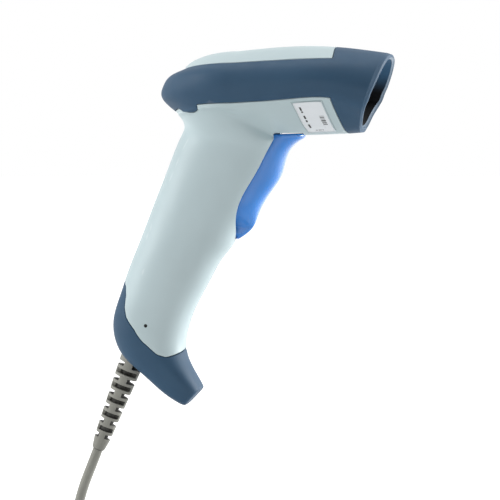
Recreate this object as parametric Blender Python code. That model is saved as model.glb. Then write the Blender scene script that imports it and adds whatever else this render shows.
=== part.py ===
"""Handheld barcode scanner: a pistol-grip laser scanner with its boot, cable and USB plug.

Metres, +Z up, the nose towards +X, symmetric about the XZ plane. The origin is the middle of the
grip. Sizes below are millimetres. The casing is cut out of one smooth skin: net() gives its rows
of points, skin() reads any place between them, and every cover is a patch of that skin.
"""
import math

import bmesh
import bpy
import numpy as np
from mathutils import Matrix, Vector

MM = 0.001
WALL = 1.8                  # casing wall
GAP = 0.3                   # each cover stops this short of its seam
CLEAR = 0.3                 # between pieces that touch

# Head, as lengthwise rows from the top centre line down to the bottom centre line. Each row has
# its half width and height at the nose rim, the nose seam, mid head and the start of the round
# rear, then the x and z where it closes at the rear.
HEAD_ROWS = [
    ((0, 0, 0, 0), (74.5, 77.4, 77.7, 75.7), -2.7, 67.4),                      # top centre
    ((10.5, 14, 14.5, 13.5), (73.9, 76.5, 76.7, 74.6), -2.7, 67.4),            # crown
    ((19.5, 25.5, 26.5, 25), (71.2, 72.1, 71.6, 70.2), -2.9, 67.0),            # cover edge
    ((26.3, 31.3, 32.2, 31), (66.0, 68.3, 68.0, 67.0), -9.2, 64.2),
    ((30, 33.8, 34.5, 33), (59.6, 62.8, 63.0, 62.2), -12.6, 59.6),             # widest
    ((30.2, 33.3, 33.8, 32.3), (55.0, 58.5, 58.3, 57.2), -12.8, 54.0),
    ((28.6, 31.3, 31.6, 30.4), (50.3, 54.5, 54.0, 52.4), -6.9, 48.4),          # band edge
]
UNDER_HALF = (12, 13, 12.8)         # underside edge half width at the rim, the seam, the trigger
UNDER_EDGE_Z = (40.4, 40.0, 39.1)
UNDER_MID_Z = (39.4, 39.0, 38.3)
RIM_TOP_X, RIM_TOP_Z, RIM_SLANT = 90.1, 74.5, 0.356     # the nose opening leans back downwards
SEAM_X = (66.0, 66.6, 67.0, 67.0, 66.8, 66.7, 66.7, 68.7, 71.4, 72.2)   # nose seam, row by row
TRIGGER_FRONT_X, CORNER_X, ROUND_X = 52.3, 39.0, 22.0
S_SEAM, S_TRIGGER, S_CORNER, S_ROUND = 0.2, 0.3, 0.4, 0.55              # places along a row
BAND_ROW, EDGE_ROW, LAST_HEAD_ROW = 6, 8, 9
HOLE_ROW = 14                       # the row at the bottom of the trigger hole
SLOPE_BULGE = 0.8

# Where the sloped underside meets the grip, from the trigger corner to the rear centre.
NECK_LINE = [(0.4, 39.0, -12.8, 38.6), (0.475, 31, -18, 43), (0.55, 22, -22.8, 46.4),
             (0.65, 13, -25.0, 48.4), (0.76, 5.2, -21.0, 47.6), (0.86, -0.4, -14.2, 46.4),
             (0.93, -3.3, -7.3, 45.5), (1.0, -4.2, 0, 45.2)]

# Grip rows: front x and z, rear x and z, half width.
GRIP_ROWS = [
    ((45.0, 35.0), (-3.0, 41.3), 19.4),
    ((41.5, 29.0), (-6.0, 34.5), 18.0),
    ((36.5, 20.0), (-10.6, 23.0), 17.2),
    ((30.3, 10.0), (-15.4, 11.0), 16.9),
    ((24.8, 0.0), (-19.7, 0.0), 16.7),
    ((19.6, -9.5), (-23.4, -9.5), 16.5),
    ((13.4, -18.0), (-26.9, -18.0), 16.3),
    ((8.1, -27.5), (-29.9, -26.0), 16.0),
    ((2.9, -37.0), (-32.4, -33.5), 15.8),
    ((-0.9, -46.0), (-35.0, -41.3), 15.6),
    ((-2.9, -54.5), (-35.9, -48.5), 15.4),
    ((-2.5, -61.0), (-34.6, -55.4), 15.0),
    ((-0.5, -66.5), (-30.3, -62.4), 14.2),
    ((1.9, -71.0), (-21.3, -70.4), 13.0),
    ((3.9, -74.6), (-11.8, -78.6), 11.6),
    ((4.6, -76.2), (-2.9, -84.2), 9.6),
]
GRIP_POWER, TOE_POWER = 2.3, 3.2     # squareness of the section, along the grip and at the toe
HOLE_ANGLE, HOLE_BOTTOM_Z, HOLE_TAPER, HOLE_CURVE = 44.0, -9.5, 19.0, 0.42
LAST_ROW = LAST_HEAD_ROW + len(GRIP_ROWS) - 1

# Height of the butt cap's seam against the angle round the grip, 0 at the front, 180 at the rear.
CAP_SEAM = [(0, -58.3), (45, -60.6), (62, -61.3), (76, -60.2), (89, -55.4), (103, -48.9),
            (120, -43.6), (130, -39.0), (137, -34.0), (147, -30.2), (163, -27.8), (180, -27.2)]

# Rounded tab on the band's lower edge at each rear corner.
TAB_FROM, TAB_TO, TAB_DEPTH = 0.712, 0.856, 4.1

GRIP_TILT = math.radians(21.4)
GRIP_AXIS_X = -1.0                  # the grip's own axis crosses z = 0 here
PIVOT = (44.0, 0.0, 42.6)
TRIGGER_HALF = 10.3
TRIGGER_FRONT = [(37.0, 51.6), (35.0, 48.4), (32.9, 46.0), (29.3, 43.7), (25.5, 42.4), (21.8, 41.4),
                 (18.5, 40.1), (14.4, 37.4), (9.0, 33.7), (4.5, 31.3), (0.5, 29.7), (-2.6, 28.3),
                 (-6.3, 24.8), (-8.9, 20.8)]
TRIGGER_SKIRT = 4.0                 # how far its sides reach inside the shells
TRIGGER_LOW, TRIGGER_TOP = -8.6, 38.6
TRIGGER_WALL = 1.8

SWITCH_Z = 21.0                     # height of the trigger switch along the grip
BOARD_Y = 5.4
ENGINE = (56.0, 0.0, 47.6)           # middle of the scan engine's base plate
WINDOW_X = 73.5

MIRROR = (6.0, -1.0, 7.0)           # from the middle of the base plate
MIRROR_YAW = math.radians(-28)
ENGINE_SCREWS = [(10.0, 11.5), (10.0, -11.5)]
BODY_SCREWS = {"upper": (25.0, 41.0, 19.1), "middle": (3.6, -21.2, 11.6), "lower": (-7.3, -44.8, 10.5)}
SCREW_SEAT = 6.0                    # their heads sink this deep, measured from the middle plane
BOARD_SCREWS = {"board_screw_upper": (-9.0, 26.0), "board_screw_lower": (-9.0, -33.0)}

CORD_R = 2.25
BOOT_X = -1.45                      # the boot's axis lies behind the grip's
BOOT_TOP, BOOT_EXIT, BOOT_END = -61.4, -70.0, -113.0    # along the grip's axis
BOOT_R0, BOOT_R1 = 5.6, 3.3
BOOT_RINGS = 11

TABLE_Z = -205.0
COIL_CENTRE = (-24.0, 0.0)
COIL_OUTER, COIL_INNER = 31.5, 19.75
COIL_LAYERS = 4
COIL_LIFT = 1.3                     # the tie passes under the coil
ROUTE = [(BOOT_X, 0, -113.3), (BOOT_X, 0, -121), (BOOT_X, 0, -130)]    # out of the boot
ROUTE_WORLD = [(-54.8, 0.4, -138), (-58.4, 1.0, -151), (-60.7, 1.6, -163), (-61.6, 2.8, -174),
               (-61.4, 6.4, -181.5), (-59.2, 13.4, -186.2), (-55.2, 19.8, -187.8)]
TAIL = [(-12, 35.2, -202.2), (-2, 32.0, -201.8), (8, 27.6, -201.4), (16, 25.6, -201.0), (22, 25.4, -200.9)]

PALE = (0.60, 0.69, 0.70)
SLATE = (0.055, 0.115, 0.185)
BLUE = (0.045, 0.17, 0.50)
GREY = (0.30, 0.30, 0.27)
BLACK = (0.02, 0.02, 0.022)
BOARD_GREEN = (0.02, 0.14, 0.05)
STEEL = (0.62, 0.62, 0.64)
ZINC = (0.45, 0.45, 0.46)
BRASS = (0.6, 0.45, 0.16)
COPPER = (0.45, 0.18, 0.06)
GLASS = (0.7, 0.75, 0.8)


# ---------------------------------------------------------------- curves and the skin

def spline(knots, values, at):
    """Smooth curve through values at the knots, read at other places (natural cubic)."""
    x = np.asarray(knots, float)
    y = np.asarray(values, float)
    n = len(x)
    h = np.diff(x)
    a = np.eye(n)
    rhs = np.zeros_like(y)
    for i in range(1, n - 1):
        a[i, i - 1:i + 2] = h[i - 1], 2 * (h[i - 1] + h[i]), h[i]
        rhs[i] = 6 * ((y[i + 1] - y[i]) / h[i] - (y[i] - y[i - 1]) / h[i - 1])
    m = np.linalg.solve(a, rhs.reshape(n, -1)).reshape(y.shape)
    at = np.asarray(at, float)
    i = np.clip(np.searchsorted(x, at) - 1, 0, n - 2)
    fit = (...,) + (None,) * (y.ndim - 1)
    hi, p, q = h[i][fit], (x[i + 1] - at)[fit], (at - x[i])[fit]
    return (m[i] * p ** 3 + m[i + 1] * q ** 3) / (6 * hi) + (y[i] / hi - m[i] * hi / 6) * p \
        + (y[i + 1] / hi - m[i + 1] * hi / 6) * q


def along(s, seam_x, rim_x):
    """x of each place s on a row, from the rim to the start of the round rear."""
    places = (0, S_SEAM, S_TRIGGER, S_CORNER, S_ROUND)
    return np.interp(s, places, (rim_x, seam_x, TRIGGER_FRONT_X, CORNER_X, ROUND_X))


def head_row(row, s):
    widths, heights, rear_x, rear_z = HEAD_ROWS[row]
    rim_x = RIM_TOP_X - RIM_SLANT * (RIM_TOP_Z - heights[0])
    x = along(s, SEAM_X[row], rim_x)
    stations = (ROUND_X, 48.0, SEAM_X[row], rim_x)
    y = spline(stations, widths[::-1], x)
    z = spline(stations, heights[::-1], x)
    turn = np.clip((s - S_ROUND) / (1 - S_ROUND), 0, 1) * math.pi / 2
    x = np.where(turn > 0, ROUND_X - (ROUND_X - rear_x) * np.sin(turn), x)
    y = y * np.cos(turn)
    z = np.where(turn > 0, rear_z + (heights[3] - rear_z) * np.cos(turn) ** 1.3, z)
    return np.stack([x, -y, z], -1)


def under_row(row, s, halves, heights):
    """A row of the head's underside, ahead of the trigger corner."""
    rim_x = RIM_TOP_X - RIM_SLANT * (RIM_TOP_Z - heights[0])
    x = along(s, SEAM_X[row], rim_x)
    stations = (TRIGGER_FRONT_X, SEAM_X[row], rim_x)
    return np.stack([x, -np.interp(x, stations, halves[::-1]), np.interp(x, stations, heights[::-1])], -1)


def hole_angle(z):
    """Angle of the trigger hole's edge round the grip, at height z."""
    return HOLE_ANGLE * np.clip((z - HOLE_BOTTOM_Z) / HOLE_TAPER, 0, 1) ** HOLE_CURVE


def grip_point(row, degrees):
    """A point of a grip row at an angle from its front."""
    front, rear, half = row
    c = np.cos(np.radians(degrees))
    s = np.sin(np.radians(degrees))
    power = np.interp(-front[1], (60, 75), (GRIP_POWER, TOE_POWER))
    reach = np.sign(c) * np.abs(c) ** (2 / power)
    mid = np.add(front, rear) / 2
    ray = np.subtract(front, rear) / 2
    return np.stack([mid[0] + ray[0] * reach, -half * np.abs(s) ** (2 / power),
                     mid[1] + ray[1] * reach], -1)


def row_angles(row, s):
    """Angle round the grip of each place s; the first lies on the trigger hole's edge."""
    f = np.clip((s - S_CORNER) / (1 - S_CORNER), 0, 1)
    first = hole_angle(row[0][1])
    return first + (180 - first) * f


def net(s):
    """All rows of the skin at the places s: an array of row, place, xyz. The right half, y <= 0."""
    s = np.asarray(s, float)
    head = [head_row(k, s) for k in range(len(HEAD_ROWS))]
    edge = under_row(EDGE_ROW, s, UNDER_HALF, UNDER_EDGE_Z)
    neck = np.array(NECK_LINE)
    edge = np.where((s >= S_CORNER)[:, None], spline(neck[:, 0], neck[:, 1:], s), edge)
    slope = (head[-1] + edge) / 2
    slope[:, 1] -= SLOPE_BULGE * np.clip(-slope[:, 1] / 12, 0, 1)
    slope[:, 0] = np.where(s < S_TRIGGER, along(s, SEAM_X[7], RIM_TOP_X - RIM_SLANT * 30), slope[:, 0])
    mid = under_row(LAST_HEAD_ROW, s, (0, 0, 0), UNDER_MID_Z)
    mirror = np.array([1, -1, 1])
    low = [mid, edge * mirror, slope * mirror] + [head[-1] * mirror] * (len(GRIP_ROWS) - 3)
    near = np.clip((s - 0.33) / (S_CORNER - 0.33), 0, 1)
    near = (near * near * (3 - 2 * near))[:, None]
    grip = [grip_point(r, row_angles(r, s)) for r in GRIP_ROWS]
    low = [a * (1 - near) + b * near for a, b in zip(low, grip)]
    return np.array(head + [slope, edge] + low)


def skin(s, rows):
    """Points of the skin: s has one value for each column, rows one line of values per column."""
    s = np.asarray(s, float)
    grid = net(s)
    mirror = np.array([1, -1, 1])
    grid = np.concatenate([grid[2:0:-1] * mirror, grid])
    knots = np.arange(-2, len(grid) - 2)
    return np.array([spline(knots, grid[:, c], rows[c]) for c in range(len(s))])


def shifted(s, row, gap):
    """The row value a given distance down (or, if negative, up) the skin from row."""
    gap = np.broadcast_to(gap, len(s))
    step = np.where(gap < 0, -1.0, 1.0)[:, None] * np.linspace(0, 3.5, 61)
    rows = np.asarray(row)[:, None] + step
    path = skin(s, rows)
    length = np.cumsum(np.linalg.norm(np.diff(path, axis=1), axis=2), axis=1)
    return np.array([np.interp(abs(g), np.concatenate([[0], d]), r) for g, d, r in zip(gap, length, rows)])


def band_edge(s):
    """Row of the band's lower edge, with its rounded tab at the rear corner."""
    s = np.asarray(s, float)
    base = np.full(s.shape, float(BAND_ROW))
    t = np.clip((s - TAB_FROM) / (TAB_TO - TAB_FROM), 0, 1)
    shape = np.clip(np.sin(np.pi * t ** 0.75), 0, 1) ** 0.55
    return shifted(s, base, TAB_DEPTH * shape)


def cap_edge(s):
    """Row where the skin reaches the butt cap's seam."""
    degrees, heights = zip(*CAP_SEAM)
    rows = np.linspace(LAST_HEAD_ROW + 5, LAST_ROW, 120)
    points = skin(s, [rows] * len(s))
    found = []
    for column, place in enumerate(s):
        angle = 180 * (place - S_CORNER) / (1 - S_CORNER)
        target = np.interp(angle, degrees, heights)
        found.append(np.interp(-target, -points[column, :, 2], rows))
    return np.array(found)


# ---------------------------------------------------------------- mesh helpers

def material(name, colour, rough=0.5, metal=0.0):
    mat = bpy.data.materials.new(name)
    mat.use_nodes = True
    shader = mat.node_tree.nodes["Principled BSDF"]
    shader.inputs["Base Color"].default_value = (*colour, 1)
    shader.inputs["Roughness"].default_value = rough
    shader.inputs["Metallic"].default_value = metal
    return mat


def to_object(name, bm, colour, rough=0.5, metal=0.0, smooth=True):
    """A bmesh in millimetres as a named object in metres."""
    bmesh.ops.scale(bm, vec=(MM, MM, MM), verts=bm.verts)
    mesh = bpy.data.meshes.new(name)
    bm.to_mesh(mesh)
    bm.free()
    if smooth:
        mesh.shade_smooth()
        mesh.set_sharp_from_angle(angle=math.radians(35))
    obj = bpy.data.objects.new(name, mesh)
    obj.data.materials.append(material(name, colour, rough, metal))
    bpy.context.collection.objects.link(obj)
    return obj


def add_grid(bm, points, flip=False):
    """A sheet of quads through a grid of points; returns its vertices."""
    verts = [[bm.verts.new(p) for p in line] for line in points]
    for a, b in zip(verts, verts[1:]):
        for i in range(len(a) - 1):
            quad = [a[i], b[i], b[i + 1], a[i + 1]]
            bm.faces.new(quad[::-1] if flip else quad)
    return verts


def skin_normals(s, rows):
    """Outward unit normals of the skin at the same places as skin(s, rows)."""
    h = 0.004
    back, ahead = np.clip(s - h, 0, 1), np.clip(s + h, 0, 1)
    across = skin(ahead, rows) - skin(back, rows)
    down = skin(s, rows + 0.02) - skin(s, rows - 0.02)
    normal = np.cross(across, down)
    return normal / np.maximum(np.linalg.norm(normal, axis=-1, keepdims=True), 1e-9)


def casing(patches, both_sides, end_row=None):
    """A closed casing piece, one wall thick, cut out of the skin.

    Each patch is (columns, row limits as two arrays, number of steps). A piece with an end row is
    closed there by a floor.
    """
    bm = bmesh.new()
    pairs = {}

    def pair(outside, inside):
        key = tuple(np.round(outside + 0.00013, 3))
        if key not in pairs:
            pairs[key] = bm.verts.new(outside), bm.verts.new(inside)
        return pairs[key]

    sides = (1, -1) if both_sides else (1,)
    for s, top, bottom, steps in patches:
        rows = top[:, None] + (bottom - top)[:, None] * np.linspace(0, 1, steps + 1)
        inner_rows = rows if end_row is None else np.minimum(rows, end_row - 0.6)
        outer = skin(s, rows)
        normal = skin_normals(s, inner_rows)
        normal[..., 1] *= np.abs(outer[..., 1]) > 0.05
        inner = skin(s, inner_rows) - WALL * normal / np.linalg.norm(normal, axis=-1, keepdims=True)
        for points in (outer, inner):
            points[..., 1] = np.minimum(points[..., 1], 0.0 if both_sides else -GAP)
        for side in sides:
            mirror = np.array([1, side, 1])
            grid = [[pair(o * mirror, i * mirror) for o, i in zip(*lines)] for lines in zip(outer, inner)]
            for a, b in zip(grid, grid[1:]):
                for k in range(steps):
                    quad = [a[k], b[k], b[k + 1], a[k + 1]]
                    for layer in (0, 1):
                        corners = list(dict.fromkeys(p[layer] for p in quad))
                        if len(corners) > 2:
                            bm.faces.new(corners)
            if end_row is not None:
                end = [line[-1] for line in grid]
                loop = end if side > 0 else loop + end[-2:0:-1]
    if end_row is not None:
        for layer in (0, 1):
            bm.faces.new([p[layer] for p in loop])
    partner = dict(pairs.values())
    for edge in [e for e in bm.edges if e.is_boundary]:
        a, b = edge.verts
        if a in partner and b in partner:
            bm.faces.new((a, b, partner[b], partner[a]))
    bmesh.ops.recalc_face_normals(bm, faces=bm.faces)
    return bm


def thicken(obj, thickness, offset=-1):
    mod = obj.modifiers.new("Wall", "SOLIDIFY")
    mod.thickness = thickness * MM
    mod.offset = offset


def cutter(obj):
    obj.hide_render = True
    obj.display_type = "WIRE"
    return obj


def boolean(obj, tool, operation="DIFFERENCE"):
    mod = obj.modifiers.new(operation.title(), "BOOLEAN")
    mod.operation = operation
    mod.object = cutter(tool)


def grip_frame(x=0.0, y=0.0, z=0.0):
    """Placement in the grip's own frame: x forwards, z up along the grip. Millimetres."""
    return Matrix.Translation((GRIP_AXIS_X, 0, 0)) @ Matrix.Rotation(GRIP_TILT, 4, "Y") \
        @ Matrix.Translation((x, y, z))


def level_frame(x=0.0, y=0.0, z=0.0):
    return Matrix.Translation((x, y, z))


def add_block(bm, size, place, bevel=0.0):
    made = bmesh.ops.create_cube(bm, size=1)["verts"]
    bmesh.ops.scale(bm, vec=size, verts=made)
    if bevel:
        edges = list({e for v in made for e in v.link_edges})
        made = bmesh.ops.bevel(bm, geom=edges, offset=bevel, segments=1, affect="EDGES")["verts"]
    bmesh.ops.transform(bm, matrix=place, verts=made)


def block(name, size, place, colour, rough=0.5, metal=0.0, bevel=0.4):
    bm = bmesh.new()
    add_block(bm, size, place, bevel)
    return to_object(name, bm, colour, rough, metal, smooth=False)


def add_turned(bm, profile, place, sides=16):
    """A solid of revolution about the frame's z. The profile is (radius, z), from bottom to top."""
    angles = np.linspace(0, 2 * math.pi, sides, endpoint=False)
    rings = []
    for radius, z in profile:
        if radius == 0:
            rings.append([bm.verts.new(place @ Vector((0, 0, z)))] * sides)
        else:
            rings.append([bm.verts.new(place @ Vector((radius * math.cos(a), radius * math.sin(a), z)))
                          for a in angles])
    closed = profile[0][0] > 0 and profile[-1][0] > 0
    for low, high in list(zip(rings, rings[1:])) + ([(rings[-1], rings[0])] if closed else []):
        for i in range(sides):
            j = (i + 1) % sides
            bm.faces.new(list(dict.fromkeys((low[i], low[j], high[j], high[i]))))


def turned(name, profile, place, colour, rough=0.5, metal=0.0, sides=24):
    bm = bmesh.new()
    add_turned(bm, profile, place, sides)
    bmesh.ops.recalc_face_normals(bm, faces=bm.faces)
    return to_object(name, bm, colour, rough, metal)


def rod(radius, low, high):
    return [(0, low), (radius, low), (radius, high), (0, high)]


def sideways(place):
    """Turns a frame so that its z runs along +Y."""
    return place @ Matrix.Rotation(-math.pi / 2, 4, "X")


# ---------------------------------------------------------------- casing

def columns(first, last, count):
    return np.linspace(first, last, count + 1)


def rear_columns():
    """Places from the trigger corner to the rear centre, closer together across the tab."""
    return np.concatenate([columns(S_CORNER, 0.66, 5), [TAB_FROM, 0.72, 0.74, 0.775, 0.81, 0.835, TAB_TO],
                           columns(0.88, 1.0, 5)])


def seam_step(s):
    """The columns beside the nose seam, stopped short of it."""
    s = s.copy()
    s[0] += GAP / 150
    return s


def flat_row(s, row):
    return np.full(len(s), float(row))


def top_cover():
    s = seam_step(np.concatenate([columns(S_SEAM, S_ROUND, 5), columns(0.61, 1.0, 8)]))
    s[-1] = 0.999
    bm = casing([(s, flat_row(s, 0), shifted(s, flat_row(s, 2), -GAP), 3)], True)
    to_object("top_cover", bm, PALE)


def upper_housing():
    nose = columns(0, S_SEAM, 4)
    nose[-1] -= GAP / 150
    side = np.concatenate([[nose[-1]], columns(S_SEAM, S_TRIGGER, 2)[1:], columns(S_TRIGGER, S_CORNER, 2)[1:],
                           rear_columns()[1:]])
    top, low = shifted(side, flat_row(side, 2), GAP), shifted(side, band_edge(side), -GAP)
    nose_top, nose_low = flat_row(nose, top[0]), flat_row(nose, low[0])
    patches = [(nose, flat_row(nose, 0), nose_top, 3), (nose, nose_top, nose_low, 5),
               (nose, nose_low, flat_row(nose, LAST_HEAD_ROW), 4), (side, top, low, 5)]
    to_object("upper_housing", casing(patches, True), SLATE)


def shell_patches():
    front = seam_step(columns(S_SEAM, S_TRIGGER, 2))
    ahead = columns(S_TRIGGER, S_CORNER, 2)
    rear = rear_columns()
    edge = [shifted(s, band_edge(s), np.interp(s, (0.6, 0.68), (GAP, 4 * GAP))) for s in (front, ahead, rear)]
    return [(front, edge[0], flat_row(front, EDGE_ROW), 2),
            (front, flat_row(front, EDGE_ROW), flat_row(front, LAST_HEAD_ROW), 2),
            (ahead, edge[1], flat_row(ahead, EDGE_ROW), 2),
            (rear, edge[2], flat_row(rear, EDGE_ROW), 2),
            (rear, flat_row(rear, EDGE_ROW), flat_row(rear, HOLE_ROW), 10),
            (rear, flat_row(rear, HOLE_ROW), shifted(rear, cap_edge(rear), -2 * GAP), 5)]


def label_sheet(grow):
    """The label on the sloped underside, slanted like the nose seam; larger by grow for its recess."""
    bm = bmesh.new()
    rows = np.linspace(6.28 - 0.04 * grow, 7.9 + 0.05 * grow, 6)
    front = np.linspace(0.230, 0.222, 6) - 0.003 * grow
    rear = np.linspace(0.318, 0.284, 6) + 0.003 * grow
    lines = [skin(np.linspace(f, r, 6), np.full((6, 1), row))[:, 0] for row, f, r in zip(rows, front, rear)]
    add_grid(bm, lines, flip=True)
    return bm


def body_shells():
    shells = []
    for name, side in (("right_body_shell", 1), ("left_body_shell", -1)):
        bm = casing(shell_patches(), False)
        if side < 0:
            bmesh.ops.scale(bm, vec=(1, -1, 1), verts=bm.verts)
            bmesh.ops.reverse_faces(bm, faces=bm.faces)
        shells.append(to_object(name, bm, PALE))
    recess = to_object("label_recess_cutter", label_sheet(1), PALE)
    thicken(recess, 1.0, offset=0)
    boolean(shells[0], recess)
    label = to_object("label_plate", label_sheet(0), (0.85, 0.85, 0.85), rough=0.35)
    thicken(label, 0.18)
    for shell, side in zip(shells, (-1, 1)):
        bosses(shell, side)


def butt_cap():
    s = rear_columns()
    rows = shifted(s, cap_edge(s), GAP)
    bm = casing([(s, rows, flat_row(s, LAST_ROW), 7)], True, end_row=LAST_ROW)
    obj = to_object("butt_cap", bm, SLATE)
    hole = turned("boot_hole_cutter", rod(BOOT_R0 + 0.4, -90, -58), grip_frame(BOOT_X), GREY)
    boolean(obj, hole)


# ---------------------------------------------------------------- trigger and its switch

def trigger_front(z):
    heights, places = zip(*TRIGGER_FRONT[::-1])
    return spline(heights, places, z)


def trigger_edge(z):
    """x of the trigger hole's side edge at height z, and the trigger's half width there."""
    edge = skin([S_CORNER], [np.linspace(HOLE_ROW, LAST_HEAD_ROW, 60)])[0]
    half = np.interp(z - 2.5, edge[:, 2], -edge[:, 1]) - WALL - 0.6
    tip = np.interp(z - 0.8, edge[:, 2], -edge[:, 1]) - 0.6
    half = np.maximum(half, np.clip(tip, 0.3, 1.6))
    return np.interp(z, edge[:, 2], edge[:, 0]), np.minimum(half, TRIGGER_HALF)


def trigger_solid(name, wall, low, high):
    """The trigger's outer form closed at its back, drawn in by a wall on its front and sides."""
    bm = bmesh.new()
    heights = np.linspace(low, high, 16)
    around = np.radians(np.linspace(0, 90, 7))
    edge, half = trigger_edge(np.minimum(heights, 33.0))
    edge = edge + np.clip(heights - 33, 0, 4) * 0.55
    front = np.minimum(trigger_front(np.minimum(heights, 37.2)), 51.7) - wall
    layers = []
    for x_edge, y_half, x_front, z in zip(edge, np.maximum(half - wall, 0.3), front, heights):
        start = min(x_edge, x_front - 2.0)
        skirt = TRIGGER_SKIRT * min(max((z - TRIGGER_LOW + 0.4) / 8, 0.05), 1)
        side = [(start - skirt - 3 * wall, y_half)]
        side += [(start + (x_front - start) * math.sin(a) ** 0.87, y_half * math.cos(a) ** 0.87)
                 for a in around]
        layers.append([(x, -y, z) for x, y in side] + [(x, y, z) for x, y in side[-2::-1]])
    verts = add_grid(bm, layers)
    for line in (verts[0], verts[-1]):
        bm.faces.new(line)
    for below, above in zip(verts, verts[1:]):
        bm.faces.new((below[0], above[0], above[-1], below[-1]))
    bmesh.ops.recalc_face_normals(bm, faces=bm.faces)
    return to_object(name, bm, BLUE, rough=0.12)


def trigger():
    """A hollow shell open at its back, a pivot block and a boss that meets the switch."""
    shell = trigger_solid("trigger", 0, TRIGGER_LOW, TRIGGER_TOP)
    hollow = trigger_solid("trigger_hollow_cutter", TRIGGER_WALL, TRIGGER_LOW + 2.4,
                           TRIGGER_TOP - TRIGGER_WALL)
    boolean(shell, hollow)
    lug = block("trigger_lug", (9.0, 8.0, 7.8), level_frame(PIVOT[0], 0, PIVOT[2] - 0.8), BLUE)
    boss = block("trigger_boss", (10.9, 4.0, 5.0), grip_frame(21.85, 0, SWITCH_Z), BLUE)
    boolean(shell, lug, "UNION")
    boolean(shell, boss, "UNION")
    bore = turned("pivot_bore_cutter", rod(1.8, -8, 8), sideways(level_frame(*PIVOT)), BLUE, sides=16)
    boolean(shell, bore)
    turned("trigger_pin", rod(1.5, -13, 13), sideways(level_frame(*PIVOT)), (0.6, 0.6, 0.62), 0.25, 1.0, 16)


def trigger_spring():
    """Torsion spring beside the pivot block, one leg on the trigger and one on the shell."""
    points = []
    turns, radius, wire = 3.5, 2.7, 0.3
    for i in range(int(turns * 12) + 1):
        a = 2 * math.pi * i / 12
        points.append((PIVOT[0] + radius * math.cos(a), 4.9 + 0.75 * i / 12, PIVOT[2] + radius * math.sin(a)))
    points.insert(0, (PIVOT[0] + radius, points[0][1], PIVOT[2] - 3.5))
    points.append((points[-1][0], points[-1][1], PIVOT[2] + 6.0))
    tube("trigger_spring", points, wire, (0.55, 0.55, 0.57), 0.25, 1.0, resolution=1)


def tube(name, points, radius, colour, rough=0.5, metal=0.0, resolution=2):
    """A round tube with filled caps along points in millimetres."""
    curve = bpy.data.curves.new(name, "CURVE")
    curve.dimensions = "3D"
    curve.bevel_depth = radius * MM
    curve.bevel_resolution = resolution
    curve.use_fill_caps = True
    line = curve.splines.new("POLY")
    line.points.add(len(points) - 1)
    for target, p in zip(line.points, points):
        target.co = (p[0] * MM, p[1] * MM, p[2] * MM, 1)
    obj = bpy.data.objects.new(name, curve)
    curve.materials.append(material(name, colour, rough, metal))
    bpy.context.collection.objects.link(obj)
    return obj


def switch():
    """Switch behind the trigger's boss, with its plunger in a bore."""
    place = grip_frame(10.6, 0, SWITCH_Z)
    body = block("trigger_switch_body", (5.6, 8.4, 7.0), place, BLACK)
    boolean(body, turned("plunger_bore_cutter", rod(1.8, -0.6, 4), forwards(place), BLACK, sides=16))
    place = forwards(grip_frame(11.0, 0, SWITCH_Z))
    turned("switch_plunger", rod(1.5, 1.2, 5.1), place, (0.75, 0.12, 0.08), sides=12)


# ---------------------------------------------------------------- electronics

def board():
    """Main board along the grip, parallel to the middle plane, with its parts."""
    main = block("main_board", (19.5, 1.6, 68.0), grip_frame(-2.3, BOARD_Y, -3.0), BOARD_GREEN, bevel=0)
    block("decoder_chip", (12.0, 1.8, 12.0), grip_frame(-4.0, BOARD_Y - 2.0, 10.0), BLACK)
    block("memory_chip", (6.0, 1.4, 8.0), grip_frame(-4.0, BOARD_Y - 1.8, -5.0), BLACK)
    turned("beeper", rod(4.5, 0, 3.4), sideways(grip_frame(-4.0, BOARD_Y + 1.1, -14.0)), BLACK, sides=20)
    block("cable_socket", (8.0, 3.6, 5.0), grip_frame(-1.5, BOARD_Y - 2.9, 27.5), (0.7, 0.68, 0.6))
    for name, (x, z) in BOARD_SCREWS.items():
        boolean(main, turned(name + "_hole_cutter", rod(1.3, BOARD_Y - 3, BOARD_Y + 3),
                             sideways(grip_frame(x, 0, z)), BLACK, sides=12))
        y = BOARD_Y - 1.1
        turned(name, [(0, y - 1.4), (2.0, y - 1.4), (2.0, y), (1.0, y), (1.0, y + 5), (0, y + 5)],
               sideways(grip_frame(x, 0, z)), STEEL, 0.25, 1.0, 12)
    jack = block("modular_jack", (11.6, 8.4, 14.0), grip_frame(0, 0, -47.0), BLACK)
    boolean(jack, block("jack_mouth_cutter", (9.8, 6.6, 14.0), grip_frame(0, 0, -49.5), BLACK, bevel=0))
    block("modular_plug", (9.2, 6.0, 14.6), grip_frame(0, 0, -50.1), (0.75, 0.77, 0.78), 0.2)


def engine_cable():
    route = [(43.4, 0, 63.4), (36, 0.2, 61.0), (28, 0.8, 54.6), (19, 1.4, 46.8), (12, 2.0, 38.8),
             (9.4, 2.4, 33.0), (8.6, 2.5, 29.2)]
    tube("engine_cable", smooth_route(route, 3.5), 1.3, (0.08, 0.08, 0.08), resolution=1)


# ---------------------------------------------------------------- scan engine

def engine_frame(x=0.0, y=0.0, z=0.0):
    return level_frame(ENGINE[0] + x, ENGINE[1] + y, ENGINE[2] + z)


def forwards(place):
    """Turns a frame so that its z runs along +X."""
    return place @ Matrix.Rotation(math.pi / 2, 4, "Y")


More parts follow.
